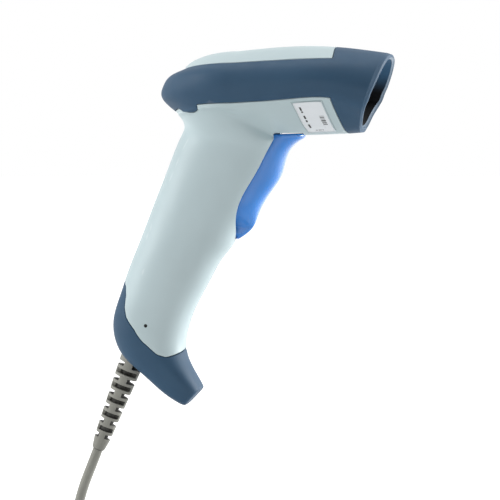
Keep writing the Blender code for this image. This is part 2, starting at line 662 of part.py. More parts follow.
def engine_chassis():
    """Base plate with two side walls, a stand for each part and two screw holes."""
    base = block("engine_chassis", (24.0, 34.0, 2.4), engine_frame(), ZINC, 0.4, 1.0, bevel=0)
    stands = [((24.0, 2.0, 14.0), (0, 16, 7.6)), ((24.0, 2.0, 14.0), (0, -16, 7.6)),
              ((12.0, 4.0, 3.0), (-2, 11.3, 2.0)), ((5.0, 4.0, 2.6), (-7.8, 3.8, 1.8)),
              ((3.0, 2.4, 3.4), (10.3, -7.9, 2.2))]
    tool, holes = bmesh.new(), bmesh.new()
    for size, place in stands:
        add_block(tool, size, engine_frame(*place))
    add_turned(tool, rod(0.8, 0.5, 2.2), engine_frame(*MIRROR[:2]), 12)
    for i, (x, y) in enumerate(ENGINE_SCREWS):
        add_turned(holes, rod(1.3, -3, 3), engine_frame(x, y, 0), 12)
        profile = [(0, -4.6), (1.0, -4.6), (1.0, 1.5), (1.9, 1.5), (1.9, 2.9), (0, 2.9)]
        turned("engine_screw_%d" % (i + 1), profile, engine_frame(x, y, 0), STEEL, 0.25, 1.0, 12)
    for name, bm, operation in (("stands", tool, "UNION"), ("holes", holes, "DIFFERENCE")):
        bmesh.ops.recalc_face_normals(bm, faces=bm.faces)
        boolean(base, to_object("engine_%s_cutter" % name, bm, ZINC, smooth=False), operation)


def engine():
    """Laser scan engine in the head, behind the window."""
    engine_chassis()
    turned("laser_barrel", rod(3.2, -8, 8), forwards(engine_frame(-2, 11.3, 7.0)), BRASS, 0.25, 1.0, 20)
    turned("laser_lens", rod(2.6, 6.3, 7.5), forwards(engine_frame(0, 11.3, 7.0)), GLASS, 0.05, 0, 16)
    mirror = engine_frame(*MIRROR) @ Matrix.Rotation(MIRROR_YAW, 4, "Z")
    block("scan_mirror", (1.2, 13.0, 9.0), mirror, (0.85, 0.86, 0.88), 0.03, 1.0, bevel=0.2)
    block("mirror_magnet", (3.0, 4.0, 4.0), mirror @ Matrix.Translation((-2.4, 0, 0)), BLACK, 0.4)
    coil = forwards(mirror @ Matrix.Translation((-9.2, 0, 0)))
    turned("drive_coil", [(2.0, -2.0), (3.6, -2.0), (3.6, 2.0), (2.0, 2.0)], coil, COPPER, 0.35, 0.8, 20)
    block("photodiode", (1.6, 6.0, 6.0), engine_frame(10.3, -9.0, 7.2), (0.25, 0.02, 0.02), 0.15)
    block("engine_board", (26.0, 34.0, 1.4), engine_frame(1.0, 0, 15.6), BOARD_GREEN, bevel=0)


def nose_section(inset):
    """Outline of the nose's inside at the window, right half then left, as y and z."""
    rows = np.concatenate([np.linspace(0.001, 2, 3), np.linspace(2.8, 8, 8), [9]])
    near = np.clip(np.round(rows), 0, 9).astype(int)
    heights = skin(np.full(len(rows), 0.1), rows[:, None])[:, 0, 2]
    rim = RIM_TOP_X - RIM_SLANT * (RIM_TOP_Z - heights)
    s = S_SEAM * (rim - WINDOW_X) / (rim - np.array(SEAM_X)[near])
    half = skin(s, rows[:, None])[:, 0, 1:]
    half[0, 0] = half[-1, 0] = 0.0
    loop = np.concatenate([half, half[-2:0:-1] * (-1, 1)])
    run = np.roll(loop, -1, axis=0) - np.roll(loop, 1, axis=0)
    inward = np.stack([-run[:, 1], run[:, 0]], -1) / np.linalg.norm(run, axis=1)[:, None]
    if (inward[0, 1]) > 0:
        inward = -inward
    return loop + inward * inset


def window():
    """Window and the gasket round it, set back in the nose."""
    place = level_frame(WINDOW_X)
    plate("scan_window", nose_section(WALL + 3.4), 1.6, place, (0.015, 0.004, 0.006), 0.04)
    ring = plate("window_gasket", nose_section(WALL + 1.0), 2.6, place, BLACK, 0.8)
    boolean(ring, plate("gasket_cutter", nose_section(WALL + 3.0), 6.0, place, BLACK))


def plate(name, outline, thickness, place, colour, rough=0.5):
    """A flat plate of an outline given as y and z, its thickness along x."""
    bm = bmesh.new()
    face = bm.faces.new([bm.verts.new((-thickness / 2, y, z)) for y, z in outline])
    out = bmesh.ops.extrude_face_region(bm, geom=[face])
    moved = [v for v in out["geom"] if isinstance(v, bmesh.types.BMVert)]
    bmesh.ops.translate(bm, vec=(thickness, 0, 0), verts=moved)
    bmesh.ops.recalc_face_normals(bm, faces=bm.faces)
    bm.transform(place)
    return to_object(name, bm, colour, rough, smooth=False)


# ---------------------------------------------------------------- bosses and fasteners

def bosses(shell, side):
    """Posts inside a shell: pivot pin, body screws, engine screws and, on the left, the board's."""
    label = "left" if side > 0 else "right"
    mirror = Matrix.Diagonal((1, side, 1, 1))
    posts, holes = bmesh.new(), bmesh.new()
    add_block(posts, (8.0, 6.3, 5.8), level_frame(PIVOT[0], side * 11.35, PIVOT[2] + 0.5))
    add_turned(holes, rod(1.7, 7.0, 13.3), mirror @ sideways(level_frame(*PIVOT)))
    for x, z, reach in BODY_SCREWS.values():
        place = mirror @ sideways(level_frame(x, 0, z))
        add_turned(posts, rod(3.0, GAP, reach), place)
        seat = [(0, -1), (1.4, -1), (1.4, SCREW_SEAT), (2.4, SCREW_SEAT), (2.4, 40), (0, 40)]
        add_turned(holes, seat if side > 0 else rod(1.3, -1, 6.5), place)
    if side > 0:
        for x, z in BOARD_SCREWS.values():
            add_turned(posts, rod(2.4, BOARD_Y + 1.1, 12.5), sideways(grip_frame(x, 0, z)))
            add_turned(holes, rod(1.2, BOARD_Y, 10.5), sideways(grip_frame(x, 0, z)))
    else:
        add_turned(holes, rod(0.8, 8, 20), mirror @ sideways(level_frame(-17.9, 0, -47.0)))
    x, y = ENGINE_SCREWS[0 if side > 0 else 1]
    add_turned(posts, rod(2.2, -7.2, -1.5), engine_frame(x, y))
    add_turned(holes, rod(1.2, -5.2, 0), engine_frame(x, y))
    for name, bm, operation in (("posts", posts, "UNION"), ("holes", holes, "DIFFERENCE")):
        bmesh.ops.recalc_face_normals(bm, faces=bm.faces)
        boolean(shell, to_object("%s_%s_cutter" % (label, name), bm, PALE, smooth=False), operation)


def screws():
    for name, (x, z, reach) in BODY_SCREWS.items():
        y = SCREW_SEAT + CLEAR
        turned("body_screw_" + name, [(0, -5), (1.1, -5), (1.1, y), (2.1, y), (2.1, y + 1.6), (0, y + 1.6)],
               sideways(level_frame(x, 0, z)), STEEL, 0.25, 1.0, 14)


# ---------------------------------------------------------------- cable

def boot():
    """Ribbed strain relief, bored for the cable, with a flange inside the butt cap."""
    outer = [(BOOT_R0 + 0.7, BOOT_TOP), (BOOT_R0 + 0.7, BOOT_TOP - 1.6), (BOOT_R0, BOOT_TOP - 1.7)]
    ribs = np.linspace(BOOT_EXIT - 1.5, BOOT_END + 5.5, BOOT_RINGS * 2)
    for i, z in enumerate(ribs):
        share = (z - BOOT_EXIT) / (BOOT_END - BOOT_EXIT)
        radius = BOOT_R0 + (BOOT_R1 - BOOT_R0) * share
        if i % 2 == 0:
            outer += [(radius, z + 0.2), (radius - 1.1, z)]
        else:
            outer += [(radius - 1.1, z + 0.2), (radius, z)]
    outer += [(BOOT_R1 + 0.3, BOOT_END + 5.0), (BOOT_R1 - 0.3, BOOT_END)]
    bore = CORD_R + CLEAR
    profile = outer + [(bore, BOOT_END), (bore, BOOT_TOP)]
    turned("cable_boot", profile[::-1], grip_frame(BOOT_X), GREY, 0.6, sides=16)
    inner = [grip_frame(BOOT_X) @ Vector((0, 0, z)) for z in np.linspace(-58.2, BOOT_END + 0.1, 6)]
    tube("inner_cable", inner, CORD_R, GREY)


def smooth_route(points, spacing):
    """Points a given distance apart on a smooth curve through the route."""
    points = np.array(points, float)
    length = np.concatenate([[0], np.cumsum(np.linalg.norm(np.diff(points, axis=0), axis=1))])
    count = max(int(length[-1] / spacing), 2)
    return spline(length, points, np.linspace(0, length[-1], count + 1))


def cord():
    """The free cable: it hangs from the boot, lies in a tied coil and ends in a USB plug."""
    route = [tuple(grip_frame() @ Vector(p)) for p in ROUTE] + ROUTE_WORLD
    tube("cord", smooth_route(route, 8.0), CORD_R, GREY)
    x, y = COIL_CENTRE
    low = TABLE_Z + COIL_LIFT
    high = low + COIL_LAYERS * 2 * CORD_R
    inner, outer = COIL_INNER - CORD_R, COIL_OUTER + CORD_R
    place = level_frame(x, y, 0)
    section = [(inner, low), (outer, low), (outer, high), (inner, high)]
    turned("cord_coil", section, place, GREY, 0.6, sides=40)
    tie()
    tail = [(x + 1, y + COIL_OUTER + 2 * CORD_R + CLEAR, TABLE_Z + CORD_R + 0.4)] + TAIL
    tube("cord_tail", smooth_route(tail, 7.0), CORD_R, GREY)
    plug_z = TAIL[-1][2]
    x, y = TAIL[-1][0] + CLEAR, TAIL[-1][1]
    block("usb_overmould", (28.0, 16.0, 8.0), level_frame(x + 14, y, plug_z), BLACK, bevel=1.2)
    x += 28.0 + CLEAR
    shell = block("usb_shell", (18.6, 12.0, 4.5), level_frame(x + 9.3, y, plug_z), STEEL, 0.25, 1.0, bevel=0)
    mouth = block("usb_mouth_cutter", (20.0, 11.0, 3.5), level_frame(x + 10.8, y, plug_z), STEEL, bevel=0)
    boolean(shell, mouth)
    block("usb_tongue", (16.0, 10.0, 1.6), level_frame(x + 9.5, y, plug_z - 0.6), BLACK, bevel=0)


def tie():
    """Strap round the coil's section."""
    middle = (COIL_OUTER + COIL_INNER) / 2
    width = COIL_OUTER - COIL_INNER + 2 * CORD_R
    height = COIL_LAYERS * 2 * CORD_R
    turn = Matrix.Rotation(math.radians(-35), 4, "Z")
    place = level_frame(*COIL_CENTRE, TABLE_Z + COIL_LIFT + height / 2) @ turn @ level_frame(middle)
    strap = block("cord_tie", (width + 2.4, 4.0, height + 2.4), place, BLACK, bevel=0)
    boolean(strap, block("tie_cutter", (width + 0.6, 6.0, height + 0.6), place, BLACK, bevel=0))


# ---------------------------------------------------------------- main

def clear_scene():
    for obj in list(bpy.data.objects):
        bpy.data.objects.remove(obj)


def main():
    clear_scene()
    top_cover()
    upper_housing()
    body_shells()
    butt_cap()
    trigger()
    trigger_spring()
    switch()
    board()
    engine_cable()
    engine()
    window()
    screws()
    boot()
    cord()


main()
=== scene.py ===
"""Looks of the handheld barcode scanner: camera, cable, casing, trigger, strain relief and materials.

Metres in the row frame, +Z up, the nose towards +X. Sizes below are millimetres. The casing is
cut out of one smooth skin: net() gives its rows of points and skin() reads any place between them.
"""

import math

import bmesh
import bpy
import numpy as np
from mathutils import Matrix, Vector

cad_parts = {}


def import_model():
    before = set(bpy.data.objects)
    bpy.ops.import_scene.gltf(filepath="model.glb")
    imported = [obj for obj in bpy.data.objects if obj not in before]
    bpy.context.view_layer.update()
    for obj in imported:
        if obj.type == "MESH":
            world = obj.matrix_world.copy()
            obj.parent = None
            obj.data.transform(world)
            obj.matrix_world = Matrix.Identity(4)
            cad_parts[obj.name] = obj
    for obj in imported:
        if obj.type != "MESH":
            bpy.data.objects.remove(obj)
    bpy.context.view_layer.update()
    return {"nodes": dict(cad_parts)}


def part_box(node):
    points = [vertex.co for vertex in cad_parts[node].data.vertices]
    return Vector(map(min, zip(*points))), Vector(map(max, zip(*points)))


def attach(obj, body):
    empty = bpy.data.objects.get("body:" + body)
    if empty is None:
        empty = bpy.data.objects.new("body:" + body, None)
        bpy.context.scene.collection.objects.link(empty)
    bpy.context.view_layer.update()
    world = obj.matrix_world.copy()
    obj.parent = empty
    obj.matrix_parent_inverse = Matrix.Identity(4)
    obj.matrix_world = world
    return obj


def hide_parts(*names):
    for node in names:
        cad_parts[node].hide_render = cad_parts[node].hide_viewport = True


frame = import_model()

MM = 0.001
WALL = 1.8
GAP = 0.16                  # half the width of a seam between covers
CLEAR = 0.3
ROLL = 0.35                 # radius of a cover's edge
SEAM_STEP = GAP / 150       # that gap at the nose seam, as a share of a row

# Head, as lengthwise rows from the top centre line down to the bottom centre line. Each row has
# its half width and height at the nose rim, the nose seam, mid head and the start of the round
# rear, then the x and z where it closes at the rear.
HEAD_ROWS = [
    ((0, 0, 0, 0), (74.5, 77.4, 77.7, 75.7), -2.7, 67.4),                      # top centre
    ((10.5, 14, 14.5, 13.5), (73.9, 76.5, 76.7, 74.6), -2.7, 67.4),            # crown
    ((19.5, 25.5, 26.5, 25), (71.2, 72.1, 71.6, 70.2), -2.9, 67.0),            # cover edge
    ((26.3, 31.3, 32.2, 31), (66.0, 68.3, 68.0, 67.0), -9.2, 64.2),
    ((30, 33.8, 34.5, 33), (59.6, 62.8, 63.0, 62.2), -12.6, 59.6),             # widest
    ((30.2, 33.3, 33.8, 32.3), (55.0, 58.5, 58.3, 57.2), -12.8, 54.0),
    ((28.6, 31.3, 31.6, 30.4), (50.3, 54.5, 54.0, 52.4), -6.9, 48.4),          # band edge
]
UNDER_HALF = (12, 13, 12.8)         # underside edge half width at the rim, the seam, the trigger
UNDER_EDGE_Z = (40.4, 40.0, 39.1)
UNDER_MID_Z = (39.4, 39.0, 38.3)
RIM_TOP_X, RIM_TOP_Z, RIM_SLANT = 90.1, 74.5, 0.356     # the nose opening leans back downwards
SEAM_X = (66.0, 66.6, 67.0, 67.0, 66.8, 66.7, 66.7, 68.7, 71.4, 72.2)   # nose seam, row by row
TRIGGER_FRONT_X, CORNER_X, ROUND_X = 52.3, 39.0, 22.0
S_SEAM, S_TRIGGER, S_CORNER, S_ROUND = 0.2, 0.3, 0.4, 0.55              # places along a row
BAND_ROW, EDGE_ROW, LAST_HEAD_ROW = 6, 8, 9
HOLE_ROW = 14                       # the row at the bottom of the trigger hole
SLOPE_BULGE = 0.8
SLOPE_DROP = 30                     # from the rim's top down to the underside's slope
MID_HEAD_X = 48.0
UNDER_BLEND = 0.33                  # the head's underside starts to turn into the grip here

# Where the sloped underside meets the grip, from the trigger corner to the rear centre.
NECK_LINE = [(0.4, 39.0, -12.8, 38.6), (0.475, 31, -18, 43), (0.55, 22, -22.8, 46.4),
             (0.65, 13, -25.0, 48.4), (0.76, 5.2, -21.0, 47.6), (0.86, -0.4, -14.2, 46.4),
             (0.93, -3.3, -7.3, 45.5), (1.0, -4.2, 0, 45.2)]

# Grip rows: front x and z, rear x and z, half width.
GRIP_ROWS = [
    ((45.0, 35.0), (-3.0, 41.3), 19.4),
    ((41.5, 29.0), (-6.0, 34.5), 18.0),
    ((36.5, 20.0), (-10.6, 23.0), 17.2),
    ((30.3, 10.0), (-15.4, 11.0), 16.9),
    ((24.8, 0.0), (-19.7, 0.0), 16.7),
    ((19.6, -9.5), (-23.4, -9.5), 16.5),
    ((13.4, -18.0), (-26.9, -18.0), 16.3),
    ((8.1, -27.5), (-29.9, -26.0), 16.0),
    ((2.9, -37.0), (-32.4, -33.5), 15.8),
    ((-0.9, -46.0), (-35.0, -41.3), 15.6),
    ((-2.9, -54.5), (-35.9, -48.5), 15.4),
    ((-2.5, -61.0), (-34.6, -55.4), 15.0),
    ((-0.5, -66.5), (-30.3, -62.4), 14.2),
    ((1.9, -71.0), (-21.3, -70.4), 13.0),
    ((3.9, -74.6), (-11.8, -78.6), 11.6),
    ((4.6, -76.2), (-2.9, -84.2), 9.6),
]
GRIP_POWER, TOE_POWER = 2.3, 3.2     # squareness of the section, along the grip and at the toe
TOE_BLEND = (60, 75)                 # depths over which the section grows squarer
HOLE_ANGLE, HOLE_BOTTOM_Z, HOLE_TAPER, HOLE_CURVE = 44.0, -9.5, 19.0, 0.42
LAST_ROW = LAST_HEAD_ROW + len(GRIP_ROWS) - 1

# Height of the butt cap's seam against the angle round the grip, 0 at the front, 180 at the rear.
CAP_SEAM = [(0, -58.3), (45, -60.6), (62, -61.3), (76, -60.2), (89, -55.4), (103, -48.9),
            (120, -43.6), (130, -39.0), (137, -34.0), (147, -30.2), (163, -27.8), (180, -27.2)]

# Rounded tab on the band's lower edge at each rear corner.
TAB_FROM, TAB_TO, TAB_DEPTH = 0.712, 0.856, 4.1
TAB_COLUMNS = (0.69, 0.87)          # the skin's columns are closest between these places

GRIP_TILT = math.radians(21.4)
GRIP_AXIS_X = -1.0                  # the grip's own axis crosses z = 0 here
TRIGGER_HALF = 10.3
TRIGGER_FRONT = [(37.0, 51.6), (35.0, 48.4), (32.9, 46.0), (29.3, 43.7), (25.5, 42.4), (21.8, 41.4),
                 (18.5, 40.1), (14.4, 37.4), (9.0, 33.7), (4.5, 31.3), (0.5, 29.7), (-2.6, 28.3),
                 (-6.3, 24.8), (-8.9, 20.8)]
TRIGGER_SKIRT = 4.0                 # how far its sides reach inside the shells
TRIGGER_LOW, TRIGGER_TOP = -8.6, 38.6
CORD_R = 2.25
BOOT_X = -1.45                      # the boot's axis lies behind the grip's
BOOT_EXIT, BOOT_END = -70.0, -113.0     # along the grip's axis
BOOT_R0, BOOT_R1 = 5.6, 3.3

TABLE_Z = -205.0
COIL_CENTRE = (-24.0, 0.0)
COIL_OUTER, COIL_INNER = 31.5, 19.75
COIL_LAYERS = 4
COIL_LIFT = 1.3                     # the tie passes under the coil
ROUTE = [(BOOT_X, 0, -113.3), (BOOT_X, 0, -121), (BOOT_X, 0, -130)]    # out of the boot
ROUTE_WORLD = [(-54.8, 0.4, -138), (-58.4, 1.0, -151), (-60.7, 1.6, -163), (-61.6, 2.8, -174),
               (-61.4, 6.4, -181.5), (-59.2, 13.4, -186.2), (-55.2, 19.8, -187.8)]
TAIL = [(-12, 35.2, -202.2), (-2, 32.0, -201.8), (8, 27.6, -201.4), (16, 25.6, -201.0), (22, 25.4, -200.9)]

# ---------------------------------------------------------------- curves and the skin

def spline(knots, values, at):
    """Smooth curve through values at the knots, read at other places (natural cubic)."""
    x = np.asarray(knots, float)
    y = np.asarray(values, float)
    n = len(x)
    h = np.diff(x)
    a = np.eye(n)
    rhs = np.zeros_like(y)
    for i in range(1, n - 1):
        a[i, i - 1:i + 2] = h[i - 1], 2 * (h[i - 1] + h[i]), h[i]
        rhs[i] = 6 * ((y[i + 1] - y[i]) / h[i] - (y[i] - y[i - 1]) / h[i - 1])
    m = np.linalg.solve(a, rhs.reshape(n, -1)).reshape(y.shape)
    at = np.asarray(at, float)
    i = np.clip(np.searchsorted(x, at) - 1, 0, n - 2)
    fit = (...,) + (None,) * (y.ndim - 1)
    hi, p, q = h[i][fit], (x[i + 1] - at)[fit], (at - x[i])[fit]
    return (m[i] * p ** 3 + m[i + 1] * q ** 3) / (6 * hi) + (y[i] / hi - m[i] * hi / 6) * p \
        + (y[i + 1] / hi - m[i + 1] * hi / 6) * q


def along(s, seam_x, rim_x):
    """x of each place s on a row, from the rim to the start of the round rear."""
    places = (0, S_SEAM, S_TRIGGER, S_CORNER, S_ROUND)
    return np.interp(s, places, (rim_x, seam_x, TRIGGER_FRONT_X, CORNER_X, ROUND_X))


def head_row(row, s):
    """One of the head's rows at the places s, closing round the rear."""
    widths, heights, rear_x, rear_z = HEAD_ROWS[row]
    rim_x = RIM_TOP_X - RIM_SLANT * (RIM_TOP_Z - heights[0])
    x = along(s, SEAM_X[row], rim_x)
    stations = (ROUND_X, MID_HEAD_X, SEAM_X[row], rim_x)
    y = spline(stations, widths[::-1], x)
    z = spline(stations, heights[::-1], x)
    turn = np.clip((s - S_ROUND) / (1 - S_ROUND), 0, 1) * math.pi / 2
    x = np.where(turn > 0, ROUND_X - (ROUND_X - rear_x) * np.sin(turn), x)
    y = y * np.cos(turn)
    z = np.where(turn > 0, rear_z + (heights[3] - rear_z) * np.cos(turn) ** 1.3, z)
    return np.stack([x, -y, z], -1)


def under_row(row, s, halves, heights):
    """A row of the head's underside, ahead of the trigger corner."""
    rim_x = RIM_TOP_X - RIM_SLANT * (RIM_TOP_Z - heights[0])
    x = along(s, SEAM_X[row], rim_x)
    stations = (TRIGGER_FRONT_X, SEAM_X[row], rim_x)
    return np.stack([x, -np.interp(x, stations, halves[::-1]), np.interp(x, stations, heights[::-1])], -1)


def hole_angle(z):
    """Angle of the trigger hole's edge round the grip, at height z."""
    return HOLE_ANGLE * np.clip((z - HOLE_BOTTOM_Z) / HOLE_TAPER, 0, 1) ** HOLE_CURVE


def grip_point(row, degrees):
    """A point of a grip row at an angle from its front."""
    front, rear, half = row
    c = np.cos(np.radians(degrees))
    s = np.sin(np.radians(degrees))
    power = np.interp(-front[1], TOE_BLEND, (GRIP_POWER, TOE_POWER))
    reach = np.sign(c) * np.abs(c) ** (2 / power)
    mid = np.add(front, rear) / 2
    ray = np.subtract(front, rear) / 2
    return np.stack([mid[0] + ray[0] * reach, -half * np.abs(s) ** (2 / power),
                     mid[1] + ray[1] * reach], -1)


def row_angles(row, s):
    """Angle round the grip of each place s; the first lies on the trigger hole's edge."""
    f = np.clip((s - S_CORNER) / (1 - S_CORNER), 0, 1)
    first = hole_angle(row[0][1])
    return first + (180 - first) * f


def net(s):
    """All rows of the skin at the places s: an array of row, place, xyz. The right half, y <= 0."""
    s = np.asarray(s, float)
    head = [head_row(k, s) for k in range(len(HEAD_ROWS))]
    edge = under_row(EDGE_ROW, s, UNDER_HALF, UNDER_EDGE_Z)
    neck = np.array(NECK_LINE)
    edge = np.where((s >= S_CORNER)[:, None], spline(neck[:, 0], neck[:, 1:], s), edge)
    slope = (head[-1] + edge) / 2
    slope[:, 1] -= SLOPE_BULGE * np.clip(-slope[:, 1] / 12, 0, 1)
    slope[:, 0] = np.where(s < S_TRIGGER, along(s, SEAM_X[7], RIM_TOP_X - RIM_SLANT * SLOPE_DROP),
                           slope[:, 0])
    mid = under_row(LAST_HEAD_ROW, s, (0, 0, 0), UNDER_MID_Z)
    mirror = np.array([1, -1, 1])
    low = [mid, edge * mirror, slope * mirror] + [head[-1] * mirror] * (len(GRIP_ROWS) - 3)
    near = np.clip((s - UNDER_BLEND) / (S_CORNER - UNDER_BLEND), 0, 1)
    near = (near * near * (3 - 2 * near))[:, None]
    grip = [grip_point(r, row_angles(r, s)) for r in GRIP_ROWS]
    low = [a * (1 - near) + b * near for a, b in zip(low, grip)]
    return np.array(head + [slope, edge] + low)


def skin(s, rows):
    """Points of the skin: s has one value for each column, rows one line of values per column."""
    s = np.asarray(s, float)
    grid = net(s)
    mirror = np.array([1, -1, 1])
    grid = np.concatenate([grid[2:0:-1] * mirror, grid])
    knots = np.arange(-2, len(grid) - 2)
    return np.array([spline(knots, grid[:, c], rows[c]) for c in range(len(s))])


def shifted(s, row, gap):
    """The row value a given distance down (or, if negative, up) the skin from row."""
    gap = np.broadcast_to(gap, len(s))
    step = np.where(gap < 0, -1.0, 1.0)[:, None] * np.linspace(0, 3.5, 61)
    rows = np.asarray(row)[:, None] + step
    path = skin(s, rows)
    length = np.cumsum(np.linalg.norm(np.diff(path, axis=1), axis=2), axis=1)
    return np.array([np.interp(abs(g), np.concatenate([[0], d]), r) for g, d, r in zip(gap, length, rows)])


def band_edge(s):
    """Row of the band's lower edge, with its rounded tab at the rear corner."""
    s = np.asarray(s, float)
    base = np.full(s.shape, float(BAND_ROW))
    t = np.clip((s - TAB_FROM) / (TAB_TO - TAB_FROM), 0, 1)
    shape = np.clip(np.sin(np.pi * t ** 0.75), 0, 1) ** 0.55
    return shifted(s, base, TAB_DEPTH * shape)


def cap_edge(s):
    """Row where the skin reaches the butt cap's seam."""
    degrees, heights = zip(*CAP_SEAM)
    rows = np.linspace(LAST_HEAD_ROW + 5, LAST_ROW, 120)
    points = skin(s, [rows] * len(s))
    found = []
    for column, place in enumerate(s):
        angle = 180 * (place - S_CORNER) / (1 - S_CORNER)
        target = np.interp(angle, degrees, heights)
        found.append(np.interp(-target, -points[column, :, 2], rows))
    return np.array(found)


def skin_normals(s, rows):
    """Outward unit normals of the skin at the same places as skin(s, rows)."""
    h = 0.004
    back, ahead = np.clip(s - h, 0, 1), np.clip(s + h, 0, 1)
    across = skin(ahead, rows) - skin(back, rows)
    down = skin(s, rows + 0.02) - skin(s, rows - 0.02)
    normal = np.cross(across, down)
    return normal / np.maximum(np.linalg.norm(normal, axis=-1, keepdims=True), 1e-9)


def trigger_front(z):
    """x of the trigger's front line at height z."""
    heights, places = zip(*TRIGGER_FRONT[::-1])
    return spline(heights, places, z)


def trigger_edge(z):
    """x of the trigger hole's side edge at height z, and the trigger's half width there."""
    edge = skin([S_CORNER], [np.linspace(HOLE_ROW, LAST_HEAD_ROW, 60)])[0]
    half = np.interp(z - 2.5, edge[:, 2], -edge[:, 1]) - WALL - 0.6
    tip = np.interp(z - 0.8, edge[:, 2], -edge[:, 1]) - 0.6
    half = np.maximum(half, np.clip(tip, 0.3, 1.6))
    return np.interp(z, edge[:, 2], edge[:, 0]), np.minimum(half, TRIGGER_HALF)



# ---------------------------------------------------------------- camera

VIEW_AZIMUTH, VIEW_ELEVATION, VIEW_DISTANCE = math.radians(9), math.radians(3), 1.2
VIEW_TARGET = Vector((0.0265, 0.0, -0.0135))
VIEW_LENS = 192.0


def camera():
    """The photograph's view, from a little ahead of the right side and above."""
    data = bpy.data.cameras.new("camera")
    data.lens = VIEW_LENS
    obj = bpy.data.objects.new("camera", data)
    back = Vector((math.sin(VIEW_AZIMUTH) * math.cos(VIEW_ELEVATION),
                   -math.cos(VIEW_AZIMUTH) * math.cos(VIEW_ELEVATION), math.sin(VIEW_ELEVATION)))
    obj.location = VIEW_TARGET + back * VIEW_DISTANCE
    obj.rotation_mode = "QUATERNION"
    obj.rotation_quaternion = (-back).to_track_quat("-Z", "Y")
    bpy.context.collection.objects.link(obj)
    bpy.context.scene.camera = obj


# ---------------------------------------------------------------- materials

def node_material(name):
    """A new material with its shader and a texture position in object metres."""
    mat = bpy.data.materials.new(name)
    mat.use_nodes = True
    tree = mat.node_tree
    shader = tree.nodes["Principled BSDF"]
    place = tree.nodes.new("ShaderNodeTexCoord").outputs["Object"]
    return mat, tree, shader, place


def noise(tree, place, scale, detail=2.0, stretch=None):
    """A noise value whose features are 1 / scale metres across."""
    if stretch:
        mapping = tree.nodes.new("ShaderNodeMapping")
        mapping.inputs["Scale"].default_value = stretch
        tree.links.new(place, mapping.inputs["Vector"])
        place = mapping.outputs["Vector"]
    node = tree.nodes.new("ShaderNodeTexNoise")
    node.inputs["Scale"].default_value = scale
    node.inputs["Detail"].default_value = detail
    tree.links.new(place, node.inputs["Vector"])
    return node.outputs["Fac"]


def ramp(tree, value, low, high, colour_low, colour_high):
    """A colour that runs between two as the value goes from low to high."""
    node = tree.nodes.new("ShaderNodeValToRGB")
    node.color_ramp.elements[0].position = low
    node.color_ramp.elements[1].position = high
    node.color_ramp.elements[0].color = (*colour_low, 1)
    node.color_ramp.elements[1].color = (*colour_high, 1)
    tree.links.new(value, node.inputs["Fac"])
    return node.outputs["Color"]


def remap(tree, value, start, stop, low=0.0, high=1.0, shape="LINEAR"):
    """The value's stretch from start to stop, mapped to low to high."""
    node = tree.nodes.new("ShaderNodeMapRange")
    node.interpolation_type = shape
    node.inputs["From Min"].default_value = start
    node.inputs["From Max"].default_value = stop
    node.inputs["To Min"].default_value = low
    node.inputs["To Max"].default_value = high
    tree.links.new(value, node.inputs["Value"])
    return node.outputs["Result"]


def spread(tree, value, low, high):
    """A noise value, most of which lies between 0.3 and 0.7, mapped to low to high."""
    return remap(tree, value, 0.3, 0.7, low, high)


def bump(tree, shader, value, distance, strength=1.0):
    """Relief of a given depth in metres."""
    node = tree.nodes.new("ShaderNodeBump")
    node.inputs["Distance"].default_value = distance
    node.inputs["Strength"].default_value = strength
    tree.links.new(value, node.inputs["Height"])
    tree.links.new(node.outputs["Normal"], shader.inputs["Normal"])


def scaled(colour, factor):
    return tuple(min(c * factor, 1.0) for c in colour)


def surface(name, colour, rough, grain=1500.0, relief=0.00002, vary=0.04, rough_vary=0.05, metal=0.0,
            worn=0.0, coat=0.0, stretch=None, gloss=0.5):
    """A solid's surface: faint blotches in its colour, uneven gloss, fine grain and worn edges."""
    mat, tree, shader, place = node_material(name)
    patches = noise(tree, place, 45.0, 4.0)
    tint = ramp(tree, patches, 0.3, 0.7, scaled(colour, 1 - vary), scaled(colour, 1 + vary))
    if worn:
        edge = tree.nodes.new("ShaderNodeNewGeometry").outputs["Pointiness"]
        node = tree.nodes.new("ShaderNodeMix")
        node.data_type = "RGBA"
        node.inputs["B"].default_value = (*[c + (1 - c) * worn for c in colour], 1)
        tree.links.new(remap(tree, edge, 0.53, 0.62), node.inputs["Factor"])
        tree.links.new(tint, node.inputs["A"])
        tint = node.outputs["Result"]
    tree.links.new(tint, shader.inputs["Base Color"])
    tree.links.new(spread(tree, noise(tree, place, 130.0, 3.0), rough - rough_vary, rough + rough_vary),
                   shader.inputs["Roughness"])
    shader.inputs["Metallic"].default_value = metal
    shader.inputs["Specular IOR Level"].default_value = gloss
    shader.inputs["Coat Weight"].default_value = coat
    shader.inputs["Coat Roughness"].default_value = 0.08
    bump(tree, shader, noise(tree, place, grain, 2.0, stretch), relief)
    return mat


def recess_light_and_shade_surface():
    """The nose's inside with painted light and shade: a lit blue-grey, lighter than the housing, above, and
    painted shade falling to black towards its floor.
    """
    mat, tree, shader, place = node_material("recess_wall")
    split = tree.nodes.new("ShaderNodeSeparateXYZ")
    tree.links.new(place, split.inputs["Vector"])
    height = tree.nodes.new("ShaderNodeMath")
    height.operation = "MULTIPLY_ADD"
    height.inputs[1].default_value = 0.006
    tree.links.new(noise(tree, place, 60.0, 2.0), height.inputs[0])
    tree.links.new(split.outputs["Z"], height.inputs[2])
    # painted light and shade by height alone: black low in the recess, 1.6 times the housing's colour higher
    # up
    share = remap(tree, height.outputs["Value"], 0.060, 0.070, shape="SMOOTHSTEP")
    tint = ramp(tree, share, 0.0, 1.0, (0.003, 0.004, 0.005), scaled(SLATE, 1.6))
    tree.links.new(tint, shader.inputs["Base Color"])
    tree.links.new(spread(tree, noise(tree, place, 200.0, 2.0), 0.6, 0.75), shader.inputs["Roughness"])
    shader.inputs["Specular IOR Level"].default_value = 0.15
    bump(tree, shader, noise(tree, place, 2600.0, 2.0), 0.000012)
    return mat


